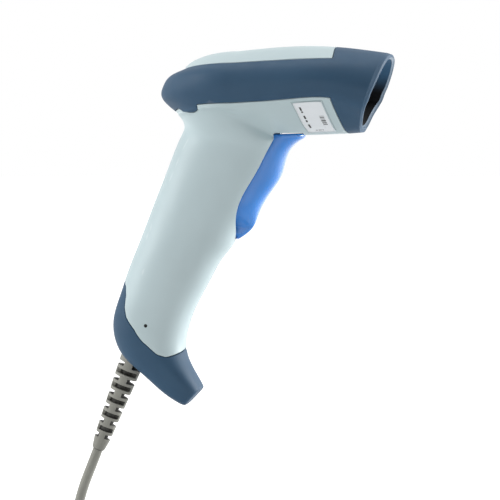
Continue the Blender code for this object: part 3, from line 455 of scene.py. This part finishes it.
PALE = (0.49, 0.60, 0.625)
SLATE = (0.030, 0.080, 0.145)
BLUE = (0.036, 0.245, 0.74)
RUBBER = (0.255, 0.255, 0.225)
BLACK = (0.018, 0.018, 0.02)


def make_materials():
    """Every look by its short name."""
    metal = dict(metal=1.0, grain=900.0, relief=0.000004, vary=0.08)
    dull = dict(grain=900.0, relief=0.00001)
    return {
        "pale": surface("pale_abs", PALE, 0.42, grain=2600, relief=0.00001, vary=0.025, worn=0.12),
        "slate": surface("slate_abs", SLATE, 0.58, grain=2600, relief=0.000012, vary=0.06, worn=0.05,
                         gloss=0.35),
        "blue": surface("blue_gloss", BLUE, 0.16, grain=500, relief=0.000004, vary=0.05, rough_vary=0.03,
                        coat=0.6, worn=0.05),
        "rubber": surface("grey_rubber", RUBBER, 0.55, grain=1800, relief=0.00003, vary=0.10, worn=0.10),
        # rubber at a sixth of its brightness: painted shade deep inside the boot's slots
        "slot": surface("boot_slot_painted_shade", scaled(RUBBER, 0.16), 0.7, grain=1800, relief=0.00003, vary=0.2),
        "cable": surface("cable_jacket", RUBBER, 0.48, grain=700, relief=0.00002, vary=0.07),
        "black": surface("black_plastic", BLACK, 0.38, vary=0.15, **dull),
        "tie": surface("tie_strap", BLACK, 0.6, grain=1200, relief=0.00004, vary=0.2),
        # painted shadow: a thin darker line where the label's shallow frame would throw shade
        "frame_painted_shadow": surface("frame_shadow", (0.30, 0.38, 0.40), 0.6, vary=0.1, **dull),
        "dark": surface("dark_print", (0.035, 0.037, 0.04), 0.6, vary=0.3, **dull),
        "recess": recess_light_and_shade_surface(),
        # paler blue-grey of the flare: a painted highlight, the lip catching light
        "flare": surface("nose_flare_painted_highlight", (0.20, 0.28, 0.37), 0.45, grain=2600, relief=0.00001, vary=0.05),
        "label": surface("label_film", (0.80, 0.84, 0.87), 0.32, grain=600, relief=0.000006, vary=0.02),
        "window": surface("window_acrylic", (0.026, 0.004, 0.006), 0.05, grain=300, relief=0.000001,
                          vary=0.1, rough_vary=0.02, gloss=0.08),
        # black rubber of the window gasket; the release hole's disc also takes it, as painted shade
        "gasket": surface("gasket_rubber_and_hole_shade", (0.012, 0.012, 0.013), 0.8, vary=0.2, **dull),
        "steel": surface("plated_steel", (0.56, 0.57, 0.58), 0.27, stretch=(1, 12, 1), **metal),
        "spring": surface("spring_wire", (0.45, 0.45, 0.46), 0.3, **metal),
        "zinc": surface("cast_zinc", (0.42, 0.42, 0.43), 0.45, **metal),
        "brass": surface("turned_brass", (0.58, 0.43, 0.16), 0.25, stretch=(20, 1, 1), **metal),
        "copper": surface("copper_winding", (0.50, 0.19, 0.07), 0.3, stretch=(30, 1, 1), **metal),
        "silver": surface("silvered_glass", (0.86, 0.87, 0.89), 0.03, rough_vary=0.01, **metal),
        "board": surface("green_board", (0.02, 0.13, 0.045), 0.3, vary=0.2, coat=0.3, **dull),
        "cream": surface("cream_nylon", (0.66, 0.63, 0.54), 0.45, vary=0.05, **dull),
        "clear": surface("plug_plastic", (0.72, 0.75, 0.76), 0.15, vary=0.03, coat=0.4, **dull),
        "red": surface("red_plunger", (0.62, 0.05, 0.03), 0.3, vary=0.08, **dull),
        "filter": surface("red_filter", (0.22, 0.012, 0.012), 0.12, vary=0.1, coat=0.4, **dull),
    }


NODE_LOOKS = {
    "black": ["trigger_switch_body", "decoder_chip", "memory_chip", "beeper", "modular_jack", "mirror_magnet",
              "engine_cable", "usb_tongue"],
    "steel": ["trigger_pin", "board_screw_upper", "board_screw_lower", "engine_screw_1", "engine_screw_2",
              "body_screw_upper", "body_screw_middle", "body_screw_lower", "usb_shell"],
    "spring": ["trigger_spring"], "red": ["switch_plunger"], "board": ["main_board", "engine_board"],
    "cream": ["cable_socket"], "clear": ["modular_plug"], "zinc": ["engine_chassis"],
    "brass": ["laser_barrel"], "silver": ["scan_mirror"], "copper": ["drive_coil"],
    "filter": ["photodiode", "laser_lens"], "window": ["scan_window"], "gasket": ["window_gasket"],
    "cable": ["inner_cable"], "tie": ["cord_tie"],
}


def dress_nodes(looks):
    """Gives the CAD pieces that stay visible their looks."""
    for look, names in NODE_LOOKS.items():
        for name in names:
            data = frame["nodes"][name].data
            data.materials.clear()
            data.materials.append(looks[look])


# ---------------------------------------------------------------- mesh helpers

class Sheet:
    """Grids of points, in millimetres, that share their common vertices."""

    def __init__(self):
        self.bm = bmesh.new()
        self.verts = {}

    def vert(self, point):
        key = tuple(np.round(np.asarray(point) + 0.00013, 3))
        if key not in self.verts:
            self.verts[key] = self.bm.verts.new(point)
        return self.verts[key]

    def grid(self, points, side=1):
        """Quads through a grid of points of the right half, mirrored to the left if side is -1."""
        rows = [[self.vert((x, y * side, z)) for x, y, z in line] for line in points]
        for a, b in zip(rows, rows[1:]):
            for k in range(len(a) - 1):
                corners = list(dict.fromkeys((a[k], b[k], b[k + 1], a[k + 1])))
                if len(corners) > 2 and not self.bm.faces.get(corners):
                    self.bm.faces.new(corners if side > 0 else corners[::-1])

    def patches(self, patches, sides):
        for s, top, bottom, steps in patches:
            rows = top[:, None] + (bottom - top)[:, None] * np.linspace(0, 1, steps + 1)
            points = skin(s, rows)
            points[..., 1] = np.minimum(points[..., 1], 0.0 if len(sides) > 1 else -GAP / 2)
            for side in sides:
                self.grid(points, side)


def roll_edges(bm, radius=ROLL, depth=1.5, keep=lambda edge: False):
    """Turns each open edge of a sheet inwards over a small radius, then down by the wall's depth."""
    bm.normal_update()
    rim = [e for e in bm.edges if e.is_boundary and not keep(e)]
    outward, normals = {}, {}
    for edge in rim:
        along_edge = (edge.verts[1].co - edge.verts[0].co).normalized()
        away = (edge.verts[0].co + edge.verts[1].co) / 2 - edge.link_faces[0].calc_center_median()
        away = (away - along_edge * away.dot(along_edge)).normalized()
        for vert in edge.verts:
            outward[vert] = outward.get(vert, Vector()) + away
            normals[vert] = vert.normal.copy()
    starts = {}
    for vert, away in outward.items():
        away = (away - normals[vert] * away.dot(normals[vert])).normalized()
        outward[vert] = away
        starts[vert] = vert.co - away * radius
        vert.co = starts[vert]
    angles = np.radians((22.5, 45, 67.5, 90))
    profile = [(radius * math.sin(a), radius * (1 - math.cos(a))) for a in angles] + [(radius, depth)]
    lines = {vert: [vert] + [bm.verts.new(starts[vert] + outward[vert] * out - normals[vert] * down)
                             for out, down in profile] for vert in outward}
    for edge in rim:
        a, b = edge.verts
        if not edge_runs(edge, a):
            a, b = b, a
        for k in range(len(profile)):
            bm.faces.new((lines[b][k], lines[a][k], lines[a][k + 1], lines[b][k + 1]))


def edge_runs(edge, start):
    """True if the edge's only face goes round from this end of it."""
    return edge.link_loops[0].vert == start


def to_object(name, bm, look, sharp=40.0):
    """A bmesh in millimetres as a named, smooth object in metres."""
    bmesh.ops.scale(bm, vec=(MM, MM, MM), verts=bm.verts)
    mesh = bpy.data.meshes.new(name)
    bm.to_mesh(mesh)
    bm.free()
    mesh.shade_smooth()
    mesh.set_sharp_from_angle(angle=math.radians(sharp))
    obj = bpy.data.objects.new(name, mesh)
    mesh.materials.append(look)
    bpy.context.collection.objects.link(obj)
    return obj


def stand_for(obj, body, *nodes):
    """obj rides on a body and replaces CAD nodes there."""
    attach(obj, body)
    if nodes:
        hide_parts(*nodes)
    return obj


def grip_frame(x=0.0, y=0.0, z=0.0):
    """Placement in the grip's own frame: x forwards, z up along the grip. Millimetres."""
    return Matrix.Translation((GRIP_AXIS_X, 0, 0)) @ Matrix.Rotation(GRIP_TILT, 4, "Y") \
        @ Matrix.Translation((x, y, z))


def flat_row(s, row):
    """The same row at each place s."""
    return np.full(len(s), float(row))


# ---------------------------------------------------------------- casing

def columns(first, last, count):
    """Evenly spaced places along the rows."""
    return np.linspace(first, last, count + 1)


def rear_columns():
    """Places from the trigger corner to the rear centre, closest across the tab."""
    first, last = TAB_COLUMNS
    return np.concatenate([columns(S_CORNER, first, 26)[:-1], columns(first, last, 48)[:-1],
                           columns(last, 1.0, 16)])


def beside_seam(s):
    """The same places, with the first clear of the nose seam."""
    s = s.copy()
    s[0] += SEAM_STEP
    return s


def top_cover(looks):
    """The pale insert, from the nose seam back to the rear centre."""
    sheet = Sheet()
    s = beside_seam(np.concatenate([columns(S_SEAM, S_ROUND, 40)[:-1], columns(S_ROUND, 1.0, 48)]))
    s[-1] = 0.9995
    sheet.patches([(s, flat_row(s, 0), shifted(s, flat_row(s, 2), -GAP), 22)], (1, -1))
    roll_edges(sheet.bm)
    stand_for(to_object("top_cover_skin", sheet.bm, looks["pale"]), "casing", "top_cover")


NOSE_CREASE = 0.014                 # where the nose's chamfer starts, along the rows
CHAMFER, LIP_RISE = 0.9, 0.6        # the lip draws in, then stands proud of the rim
FLARE, RECESS_INSET = 1.3, 4.6      # depth of the flare, made paler by a painted highlight, and how far the window lies inside


def nose_rim(rows):
    """Points of the opening's outer edge, drawn in by the chamfer, and the directions square to it."""
    rim = skin(np.zeros(len(rows)), rows[:, None])[:, 0]
    normal = skin_normals(np.full(len(rows), 0.01), rows[:, None])[:, 0]
    normal[:, 0] = 0
    normal[np.abs(rim[:, 1]) < 0.05, 1] = 0
    normal /= np.linalg.norm(normal, axis=1)[:, None]
    share = np.clip((RIM_TOP_Z - rim[:, 2]) / 12, 0.4, 1)[:, None]
    return rim - normal * CHAMFER * share, normal


def lip(rows):
    """The nose's lip: chamfer from the crease, rounded edge and rise to the opening's edge."""
    rim, normal = nose_rim(rows)
    crease = skin(np.full(len(rows), NOSE_CREASE), rows[:, None])[:, 0]
    stops = [(0.12, 0.08), (0.2, 0.22), (LIP_RISE - 0.1, 0.9), (LIP_RISE, 1.15), (LIP_RISE - 0.1, 1.3)]
    points = [crease, crease + (rim - crease) * 0.5, rim]
    points += [rim + (rise, 0, 0) - normal * inset for rise, inset in stops]
    return np.array(points).transpose(1, 0, 2)


def recess(rows, looks):
    """The opening's flare, made paler by a painted highlight, and the walls of the recess from there back to
    the window, with painted light and shade.
    """
    rim, normal = nose_rim(rows)
    edge = lip(rows)[:, -1]
    throat = edge - (FLARE, 0, 0) - normal * 0.8
    back = rim - normal * (RECESS_INSET - CHAMFER)
    back[:, 0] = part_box("scan_window")[1][0] / MM + 0.6
    flare = [edge, edge - (0.3, 0, 0) - normal * 0.06, throat + (0.2, 0, 0), throat]
    walls = [throat + (back - throat) * share for share in (0, 0.1, 0.3, 0.6, 1)]
    for name, look, lines in (("nose_flare_painted_highlight", "flare", flare), ("nose_recess_walls", "recess", walls)):
        points = np.array(lines).transpose(1, 0, 2)
        sheet = Sheet()
        for side in (1, -1):
            sheet.grid(points[:, ::-1], side)
        stand_for(to_object(name, sheet.bm, looks[look]), "casing")


def upper_housing(looks):
    """The slate nose and side band in one sheet, with the lip and the recess."""
    sheet = Sheet()
    nose = columns(NOSE_CREASE, S_SEAM, 28)
    nose[-1] -= SEAM_STEP
    side = np.concatenate([[nose[-1]], columns(S_SEAM, S_TRIGGER, 10)[1:],
                           columns(S_TRIGGER, S_CORNER, 8)[1:], rear_columns()[1:]])
    top, low = shifted(side, flat_row(side, 2), GAP), shifted(side, band_edge(side), -GAP)
    nose_top, nose_low = flat_row(nose, top[0]), flat_row(nose, low[0])
    sheet.patches([(nose, flat_row(nose, 0), nose_top, 14), (nose, nose_top, nose_low, 30),
                   (nose, nose_low, flat_row(nose, LAST_HEAD_ROW), 20), (side, top, low, 30)], (1, -1))
    rows = np.concatenate([columns(0, top[0], 14)[:-1], columns(top[0], low[0], 30)[:-1],
                           columns(low[0], LAST_HEAD_ROW, 20)])
    edges = lip(rows)
    for side_sign in (1, -1):
        sheet.grid(edges[:, ::-1], side_sign)
    inside = {tuple(np.round(np.abs(point), 2)) for point in edges[:, -1]}
    roll_edges(sheet.bm, keep=lambda e: all(tuple(np.round(np.abs(v.co), 2)) in inside for v in e.verts))
    stand_for(to_object("upper_housing_skin", sheet.bm, looks["slate"]), "casing", "upper_housing")
    recess(rows, looks)


def shell_patches():
    """Patches of one body shell: beside the label, over the trigger and down the grip."""
    front = beside_seam(columns(S_SEAM, S_TRIGGER, 24))
    ahead = columns(S_TRIGGER, S_CORNER, 16)
    rear = rear_columns()
    edge = [shifted(s, band_edge(s), GAP) for s in (front, ahead, rear)]
    return [(front, edge[0], flat_row(front, EDGE_ROW), 16),
            (front, flat_row(front, EDGE_ROW), flat_row(front, LAST_HEAD_ROW), 10),
            (ahead, edge[1], flat_row(ahead, EDGE_ROW), 16),
            (rear, edge[2], flat_row(rear, EDGE_ROW), 16),
            (rear, flat_row(rear, EDGE_ROW), flat_row(rear, HOLE_ROW), 44),
            (rear, flat_row(rear, HOLE_ROW), shifted(rear, cap_edge(rear), -GAP), 34)]


def body_shells(looks):
    """The two halves of the handle, which meet at the centre seam."""
    for name, side in (("right_body_shell", 1), ("left_body_shell", -1)):
        sheet = Sheet()
        sheet.patches(shell_patches(), (side,))
        roll_edges(sheet.bm, radius=0.28)
        stand_for(to_object(name + "_skin", sheet.bm, looks["pale"]), "casing", name)


TOE_ROUND = 0.16


def butt_cap(looks):
    """The foot, with rounded edges to its flat toe."""
    sheet = Sheet()
    s = rear_columns()
    top = shifted(s, cap_edge(s), GAP)
    sheet.patches([(s, top, flat_row(s, LAST_ROW - 0.3), 40)], (1, -1))
    toe = skin(s, np.full((len(s), 1), float(LAST_ROW)))[:, 0]
    before = skin(s, np.full((len(s), 1), LAST_ROW - 0.3))[:, 0]
    centre = toe.mean(axis=0) * (1, 0, 1)
    rings = [before]
    for angle in np.radians((15, 30, 45, 60, 75, 90)):
        edge = before + (toe - before) * math.sin(angle)
        rings.append(edge + (centre - edge) * (1 - math.cos(angle)) * TOE_ROUND)
    rings += [toe + (centre - toe) * share for share in (0.45, 0.7, 0.9, 1.0)]
    for side in (1, -1):
        sheet.grid(np.array(rings).transpose(1, 0, 2), side)
    roll_edges(sheet.bm)
    stand_for(to_object("butt_cap_skin", sheet.bm, looks["slate"], sharp=60), "casing", "butt_cap")



# ---------------------------------------------------------------- label

LABEL_ROWS = (6.28, 7.90)
LABEL_FRONT, LABEL_REAR = (0.230, 0.222), (0.318, 0.284)    # places at the label's top and bottom
LINE_LIFT, FILM_LIFT, INK_LIFT = 0.015, 0.05, 0.09          # heights above the skin


def label_point(u, v, lift):
    """A place on the label: u from its rear edge to its front, v from its top to its bottom."""
    u, v = np.broadcast_arrays(np.asarray(u, float), np.asarray(v, float))
    front = LABEL_FRONT[0] + (LABEL_FRONT[1] - LABEL_FRONT[0]) * v
    rear = LABEL_REAR[0] + (LABEL_REAR[1] - LABEL_REAR[0]) * v
    s = rear + (front - rear) * u
    rows = (LABEL_ROWS[0] + (LABEL_ROWS[1] - LABEL_ROWS[0]) * v)[:, None]
    return skin(s, rows)[:, 0] + skin_normals(s, rows)[:, 0] * lift


def add_bar(sheet, u0, u1, v0, v1, lift, steps=4):
    """A thin printed bar on the label."""
    v = np.linspace(v0, v1, steps + 1)
    sheet.grid([label_point(u0 + 0 * v, v, lift), label_point(u1 + 0 * v, v, lift)])


def label(looks):
    """The label film in its shallow frame, whose edge is a thin line of painted shadow, printed with plain
    bars only.
    """
    film = Sheet()
    lines = np.linspace(0, 1, 13)
    film.grid([label_point(u + 0 * lines, lines, FILM_LIFT) for u in lines])
    roll_edges(film.bm, radius=0.06, depth=0.3)
    stand_for(to_object("label_film", film.bm, looks["label"]), "casing", "label_plate")
    # a thin grey line round three sides of the label: painted shadow at the edge of its frame
    border = Sheet()
    for bar in ((-0.05, -0.03, -0.04, 1.03), (1.03, 1.05, -0.04, 1.03), (-0.05, 1.05, -0.045, -0.03)):
        add_bar(border, *bar, LINE_LIFT, 12)
    stand_for(to_object("label_frame_painted_shadow", border.bm, looks["frame_painted_shadow"]), "casing")
    ink = Sheet()
    for i, length in enumerate((0.15, 0.05, 0.10, 0.06, 0.13)):
        start = 0.17 + i * 0.135
        add_bar(ink, 0.155, 0.215, start, start + min(length, 0.115), INK_LIFT)
    for i, width in enumerate((1, 2, 1, 1, 3, 1, 2, 1, 2)):
        start = 0.47 + i * 0.032
        add_bar(ink, 0.70, 0.86, start, start + 0.009 * width, INK_LIFT, 2)
    for start, length in ((0.30, 0.07), (0.40, 0.12), (0.55, 0.05)):
        add_bar(ink, start, start + length, 0.915, 0.935, INK_LIFT, 1)
    stand_for(to_object("label_print", ink.bm, looks["dark"]), "casing")


HOLE_PLACE, HOLE_RADIUS = (-17.9, -47.0), 0.8       # the release hole's x and z


def pinhole(looks):
    """A black disc for the cable release hole: painted shade where the hole's mouth would be, a little off
    the surface.
    """
    bm = bmesh.new()
    bmesh.ops.create_circle(bm, cap_ends=True, radius=HOLE_RADIUS, segments=24)
    centre, normal = surface_point(*HOLE_PLACE)
    place = Matrix.Translation(centre + normal * 0.03) @ normal.to_track_quat("Z", "Y").to_matrix().to_4x4()
    bm.transform(place)
    stand_for(to_object("release_hole_painted_shade", bm, looks["gasket"]), "casing")


def surface_point(x, z):
    """The right side's point at x and z, and its normal there."""
    s = np.linspace(0.45, 0.99, 60)
    rows = np.linspace(HOLE_ROW, LAST_ROW - 3, 120)
    grid = skin(s, np.tile(rows, (len(s), 1)))
    away = np.hypot(grid[..., 0] - x, grid[..., 2] - z)
    i, j = np.unravel_index(np.argmin(away), away.shape)
    normal = skin_normals(s[i:i + 1], rows[j:j + 1][None])[0, 0]
    return Vector(grid[i, j]), Vector(normal)


# ---------------------------------------------------------------- trigger

TOP_SLOPE, TOP_BEND = 0.03, 2.6     # the trigger's top follows the head's underside
EDGE_TOP, EDGE_LEAN = 33.0, 0.55    # above this height its side edge leans forwards
FRONT_TOP, FRONT_X = 37.2, 51.7     # its front ends here
SIDE_CURVE = 0.87                   # squareness of its section


def trigger(looks):
    """The trigger's skin with its two finger scoops and rounded ends."""
    heights = np.concatenate([np.linspace(TRIGGER_LOW, TRIGGER_LOW + 3, 12)[:-1],
                              np.linspace(TRIGGER_LOW + 3, TRIGGER_TOP, 76)])
    around = np.radians(np.linspace(0, 90, 21))
    edge, half = trigger_edge(np.minimum(heights, EDGE_TOP))
    edge = edge + np.clip(heights - EDGE_TOP, 0, 4) * EDGE_LEAN
    front = np.minimum(trigger_front(np.minimum(heights, FRONT_TOP)), FRONT_X)
    layers = []
    for x_edge, y_half, x_front, z in zip(edge, half, front, heights):
        start = min(x_edge, x_front - 2.0)
        skirt = TRIGGER_SKIRT * min(max((z - TRIGGER_LOW + 0.4) / 8, 0.05), 1)
        side = [(start - skirt, y_half), (start - skirt * 0.5, y_half)]
        side += [(start + (x_front - start) * math.sin(a) ** SIDE_CURVE, y_half * math.cos(a) ** SIDE_CURVE)
                 for a in around]
        side[-1] = (x_front, 0.0)
        rise = TOP_SLOPE * min(max((z - TRIGGER_TOP + TOP_BEND) / TOP_BEND, 0), 1)
        layers.append([(x, -y, z + rise * (x - CORNER_X)) for x, y in side])
    sheet = Sheet()
    points = np.array(layers)[::-1].transpose(1, 0, 2)[::-1]
    for sign in (1, -1):
        sheet.grid(points, sign)
    bmesh.ops.recalc_face_normals(sheet.bm, faces=sheet.bm.faces)
    roll_edges(sheet.bm, radius=0.3, depth=1.2)
    stand_for(to_object("trigger_skin", sheet.bm, looks["blue"], sharp=50), "trigger", "trigger")


# ---------------------------------------------------------------- cable and its strain relief

SLOT_PITCH = 3.46                   # from one ring of the boot to the next
RING = 1.35                         # a ring's thickness
COLLAR = 5.6                        # plain taper at the boot's end
NECK = 4                            # the boot starts this far inside the butt cap


def boot_radius(z):
    """Outer radius of the boot at a place along its axis."""
    return np.interp(z, (BOOT_END, BOOT_END + 0.6, BOOT_END + COLLAR, BOOT_EXIT, BOOT_EXIT + NECK),
                     (BOOT_R1 - 0.7, BOOT_R1 - 0.35, BOOT_R1 + 0.45, BOOT_R0, BOOT_R0))


def boot(looks):
    """Rings joined by bridges that change from front and back to the sides at every slot."""
    heights = np.arange(BOOT_EXIT + NECK, BOOT_END - 0.05, -0.1)
    angles = np.linspace(0, 2 * math.pi, 97)[:-1]
    side, front = np.abs(np.sin(angles)), np.abs(np.cos(angles))
    bm = bmesh.new()
    rings, depths = [], []
    for z, radius in zip(heights, boot_radius(heights)):
        above = z - BOOT_END - COLLAR
        index, into = divmod(above, SLOT_PITCH)
        mouth = np.clip(((front if index % 2 == 0 else side) - 0.36) / 0.14, 0, 1)
        wall = min(into, SLOT_PITCH - RING - into) if above > 0 and z < BOOT_EXIT - 0.5 else 0.0
        cut = mouth * mouth * (3 - 2 * mouth) * np.clip(wall / 0.2, 0, 1)
        depths.append(cut)
        reach = radius - (radius - CORD_R - 0.1) * cut
        rings.append([bm.verts.new((q * math.cos(a), q * math.sin(a), z)) for q, a in zip(reach, angles)])
    bore = CORD_R + 0.05
    rings.append([bm.verts.new((bore * math.cos(a), bore * math.sin(a), BOOT_END + 0.1)) for a in angles])
    for high, low in zip(rings, rings[1:]):
        for k in range(len(angles)):
            m = (k + 1) % len(angles)
            bm.faces.new((high[k], low[k], low[m], high[m]))
    bm.transform(grip_frame(BOOT_X))
    obj = stand_for(to_object("strain_relief", bm, looks["rubber"], sharp=35), "casing", "cable_boot")
    # faces cut deep into the slots take the darker rubber: painted shade inside the slots
    obj.data.materials.append(looks["slot"])
    for face, depth in zip(obj.data.polygons, np.concatenate(depths)):
        face.material_index = int(depth > 0.6)


COIL_START, COIL_TURN = math.radians(212.4), math.radians(3657.6)
LEAD = math.radians(75)             # the cable comes in and goes out over this much of a turn
LEAD_IN, LEAD_OUT, OUT_DROP = 5.4, 4.8, 0.9


def coil_points():
    """Turns of the stowed cable, layer below layer, each a diameter lower than the last."""
    angles = np.linspace(0, COIL_TURN, 245)
    points = []
    top = TABLE_Z + COIL_LIFT + CORD_R + (COIL_LAYERS - 1) * 2 * CORD_R
    for angle in angles[1:-1]:
        layer, share = divmod(angle / COIL_TURN * COIL_LAYERS, 1)
        radius = COIL_OUTER + (COIL_INNER - COIL_OUTER) * (share if layer % 2 == 0 else 1 - share)
        begin = max(0.0, 1 - angle / LEAD)
        end = max(0.0, 1 - (COIL_TURN - angle) / LEAD)
        radius += LEAD_IN * begin ** 2 + LEAD_OUT * end ** 2
        fall = np.clip((share - 0.9) / 0.1, 0, 1) if layer < COIL_LAYERS - 1 else 0.0
        drop = 2 * CORD_R * (layer + fall * fall * (3 - 2 * fall)) + OUT_DROP * end ** 2
        a = COIL_START + angle
        x, y = COIL_CENTRE[0] + radius * math.cos(a), COIL_CENTRE[1] - radius * math.sin(a)
        points.append((x, y, top - drop))
    return points


ROUTE_STEP, CABLE_STEP = 7.0, 3.0   # spacing of the listed points, and of the final curve


def smooth_route(points, spacing):
    """Points a given distance apart on a smooth curve through the route."""
    points = np.array(points, float)
    length = np.concatenate([[0], np.cumsum(np.linalg.norm(np.diff(points, axis=0), axis=1))])
    return spline(length, points, np.linspace(0, length[-1], int(length[-1] / spacing) + 1))


def cord(looks):
    """The cable on one smooth curve: down from the boot, ten turns of coil, and on to the plug."""
    hang = smooth_route([tuple(grip_frame() @ Vector(p)) for p in ROUTE] + ROUTE_WORLD, ROUTE_STEP)
    tail = smooth_route([(COIL_CENTRE[0] + 1, COIL_CENTRE[1] + COIL_OUTER + 2 * CORD_R + CLEAR,
                          TABLE_Z + CORD_R + 0.4)] + TAIL, ROUTE_STEP)
    path = smooth_route(np.concatenate([hang, coil_points(), tail]), CABLE_STEP) * MM
    curve = bpy.data.curves.new("usb_cable", "CURVE")
    curve.dimensions = "3D"
    curve.bevel_depth = CORD_R * MM
    curve.bevel_resolution = 6
    curve.use_fill_caps = True
    line = curve.splines.new("POLY")
    line.points.add(len(path) - 1)
    for point, place in zip(line.points, path):
        point.co = (*place, 1)
    line.use_smooth = True
    curve.materials.append(looks["cable"])
    obj = bpy.data.objects.new("usb_cable", curve)
    bpy.context.collection.objects.link(obj)
    stand_for(obj, "casing", "cord", "cord_coil", "cord_tail")
    on_it = [frame["nodes"][name] for name in ("cord_tie", "usb_shell", "usb_tongue")]
    on_it + [plug(looks)]


def plug(looks):
    """The plug's soft grip: a rounded block with finger ribs and a collar for the cable."""
    low, high = [np.array(corner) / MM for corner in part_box("usb_overmould")]
    centre, size = (low + high) / 2, high - low
    stations = np.linspace(0, 1, 57)
    angles = np.linspace(0, 2 * math.pi, 65)[:-1]
    bm = bmesh.new()
    rings = []
    for t in stations:
        collar = min(1.0, 0.72 + 0.28 * math.sin(min(t / 0.12, 1) * math.pi / 2))
        ends = collar * (1 - 0.10 * max(0, (t - 0.9) / 0.1) ** 2)
        rib = 0.05 * max(0.0, math.sin((t - 0.3) * math.pi * 20)) if 0.3 < t < 0.6 else 0.0
        ring = []
        for a in angles:
            y = np.sign(math.cos(a)) * abs(math.cos(a)) ** 0.45 * size[1] / 2 * (ends - rib)
            z = np.sign(math.sin(a)) * abs(math.sin(a)) ** 0.6 * size[2] / 2 * ends
            ring.append(bm.verts.new((low[0] + t * size[0], centre[1] + y, centre[2] + z)))
        rings.append(ring)
    for left, right in zip(rings, rings[1:]):
        for k in range(len(angles)):
            m = (k + 1) % len(angles)
            bm.faces.new((left[k], left[m], right[m], right[k]))
    bm.faces.new(rings[0][::-1])
    bm.faces.new(rings[-1])
    bmesh.ops.recalc_face_normals(bm, faces=bm.faces)
    return stand_for(to_object("plug_grip", bm, looks["black"]), "casing", "usb_overmould")


# ---------------------------------------------------------------- stage and light

FLOOR_RADIUS = 9.0 / MM
FLOOR_GLOW = (0.22, 0.95)           # seen from above, and at a grazing angle
SURROUND = (0.06, 0.85)             # light from the camera's side, and from behind the object


def floor():
    """Plain floor, whose glow follows the angle at which it is seen."""
    mat, tree, shader, _ = node_material("pale_floor")
    shader.inputs["Base Color"].default_value = (0.4, 0.4, 0.4, 1)
    shader.inputs["Roughness"].default_value = 0.9
    shader.inputs["Emission Color"].default_value = (1, 1, 1, 1)
    facing = tree.nodes.new("ShaderNodeLayerWeight").outputs["Facing"]
    tree.links.new(remap(tree, facing, 0.35, 0.85, *FLOOR_GLOW), shader.inputs["Emission Strength"])
    bm = bmesh.new()
    bmesh.ops.create_circle(bm, cap_ends=True, radius=FLOOR_RADIUS, segments=64)
    bmesh.ops.translate(bm, vec=(0, 0, TABLE_Z - 0.3), verts=bm.verts)
    to_object("floor", bm, mat)


def world():
    """An even white surround, brighter behind and to the sides than in front."""
    made = bpy.data.worlds.new("studio")
    made.use_nodes = True
    tree = made.node_tree
    back = tree.nodes["Background"]
    direction = tree.nodes.new("ShaderNodeTexCoord").outputs["Generated"]
    split = tree.nodes.new("ShaderNodeSeparateXYZ")
    tree.links.new(direction, split.inputs["Vector"])
    shade = remap(tree, split.outputs["Y"], -1.0, 0.4, *SURROUND)
    seen = tree.nodes.new("ShaderNodeLightPath").outputs["Is Camera Ray"]
    pick = tree.nodes.new("ShaderNodeMix")
    tree.links.new(seen, pick.inputs["Factor"])
    tree.links.new(shade, pick.inputs["A"])
    pick.inputs["B"].default_value = 1.0
    tree.links.new(pick.outputs["Result"], back.inputs["Strength"])
    back.inputs["Color"].default_value = (1, 1, 1, 1)
    bpy.context.scene.world = made


def area_light(name, place, target, size, power):
    """A soft rectangular lamp aimed at a target. Metres and watts."""
    data = bpy.data.lights.new(name, "AREA")
    data.shape = "RECTANGLE"
    data.size, data.size_y = size
    data.energy = power
    obj = bpy.data.objects.new(name, data)
    obj.location = place
    obj.rotation_mode = "QUATERNION"
    obj.rotation_quaternion = (Vector(target) - Vector(place)).to_track_quat("-Z", "Y")
    bpy.context.collection.objects.link(obj)


def lights():
    """Key from the rear, a rim from the nose's far side and a faint top light."""
    area_light("key", (-1.6, -0.6, 0.85), (0, 0, 0), (1.4, 1.4), 23)
    area_light("rim", (1.1, 0.62, 0.1), (0.02, 0, 0), (0.7, 1.6), 27)
    area_light("top", (0.1, 0.1, 1.6), (0, 0, 0), (1.0, 1.0), 6)


# ---------------------------------------------------------------- main


def main():
    camera()
    looks = make_materials()
    cord(looks)
    dress_nodes(looks)
    upper_housing(looks)
    top_cover(looks)
    body_shells(looks)
    butt_cap(looks)
    label(looks)
    pinhole(looks)
    trigger(looks)
    boot(looks)
    floor()
    world()
    lights()
    bpy.context.scene.view_settings.view_transform = "Standard"


main()
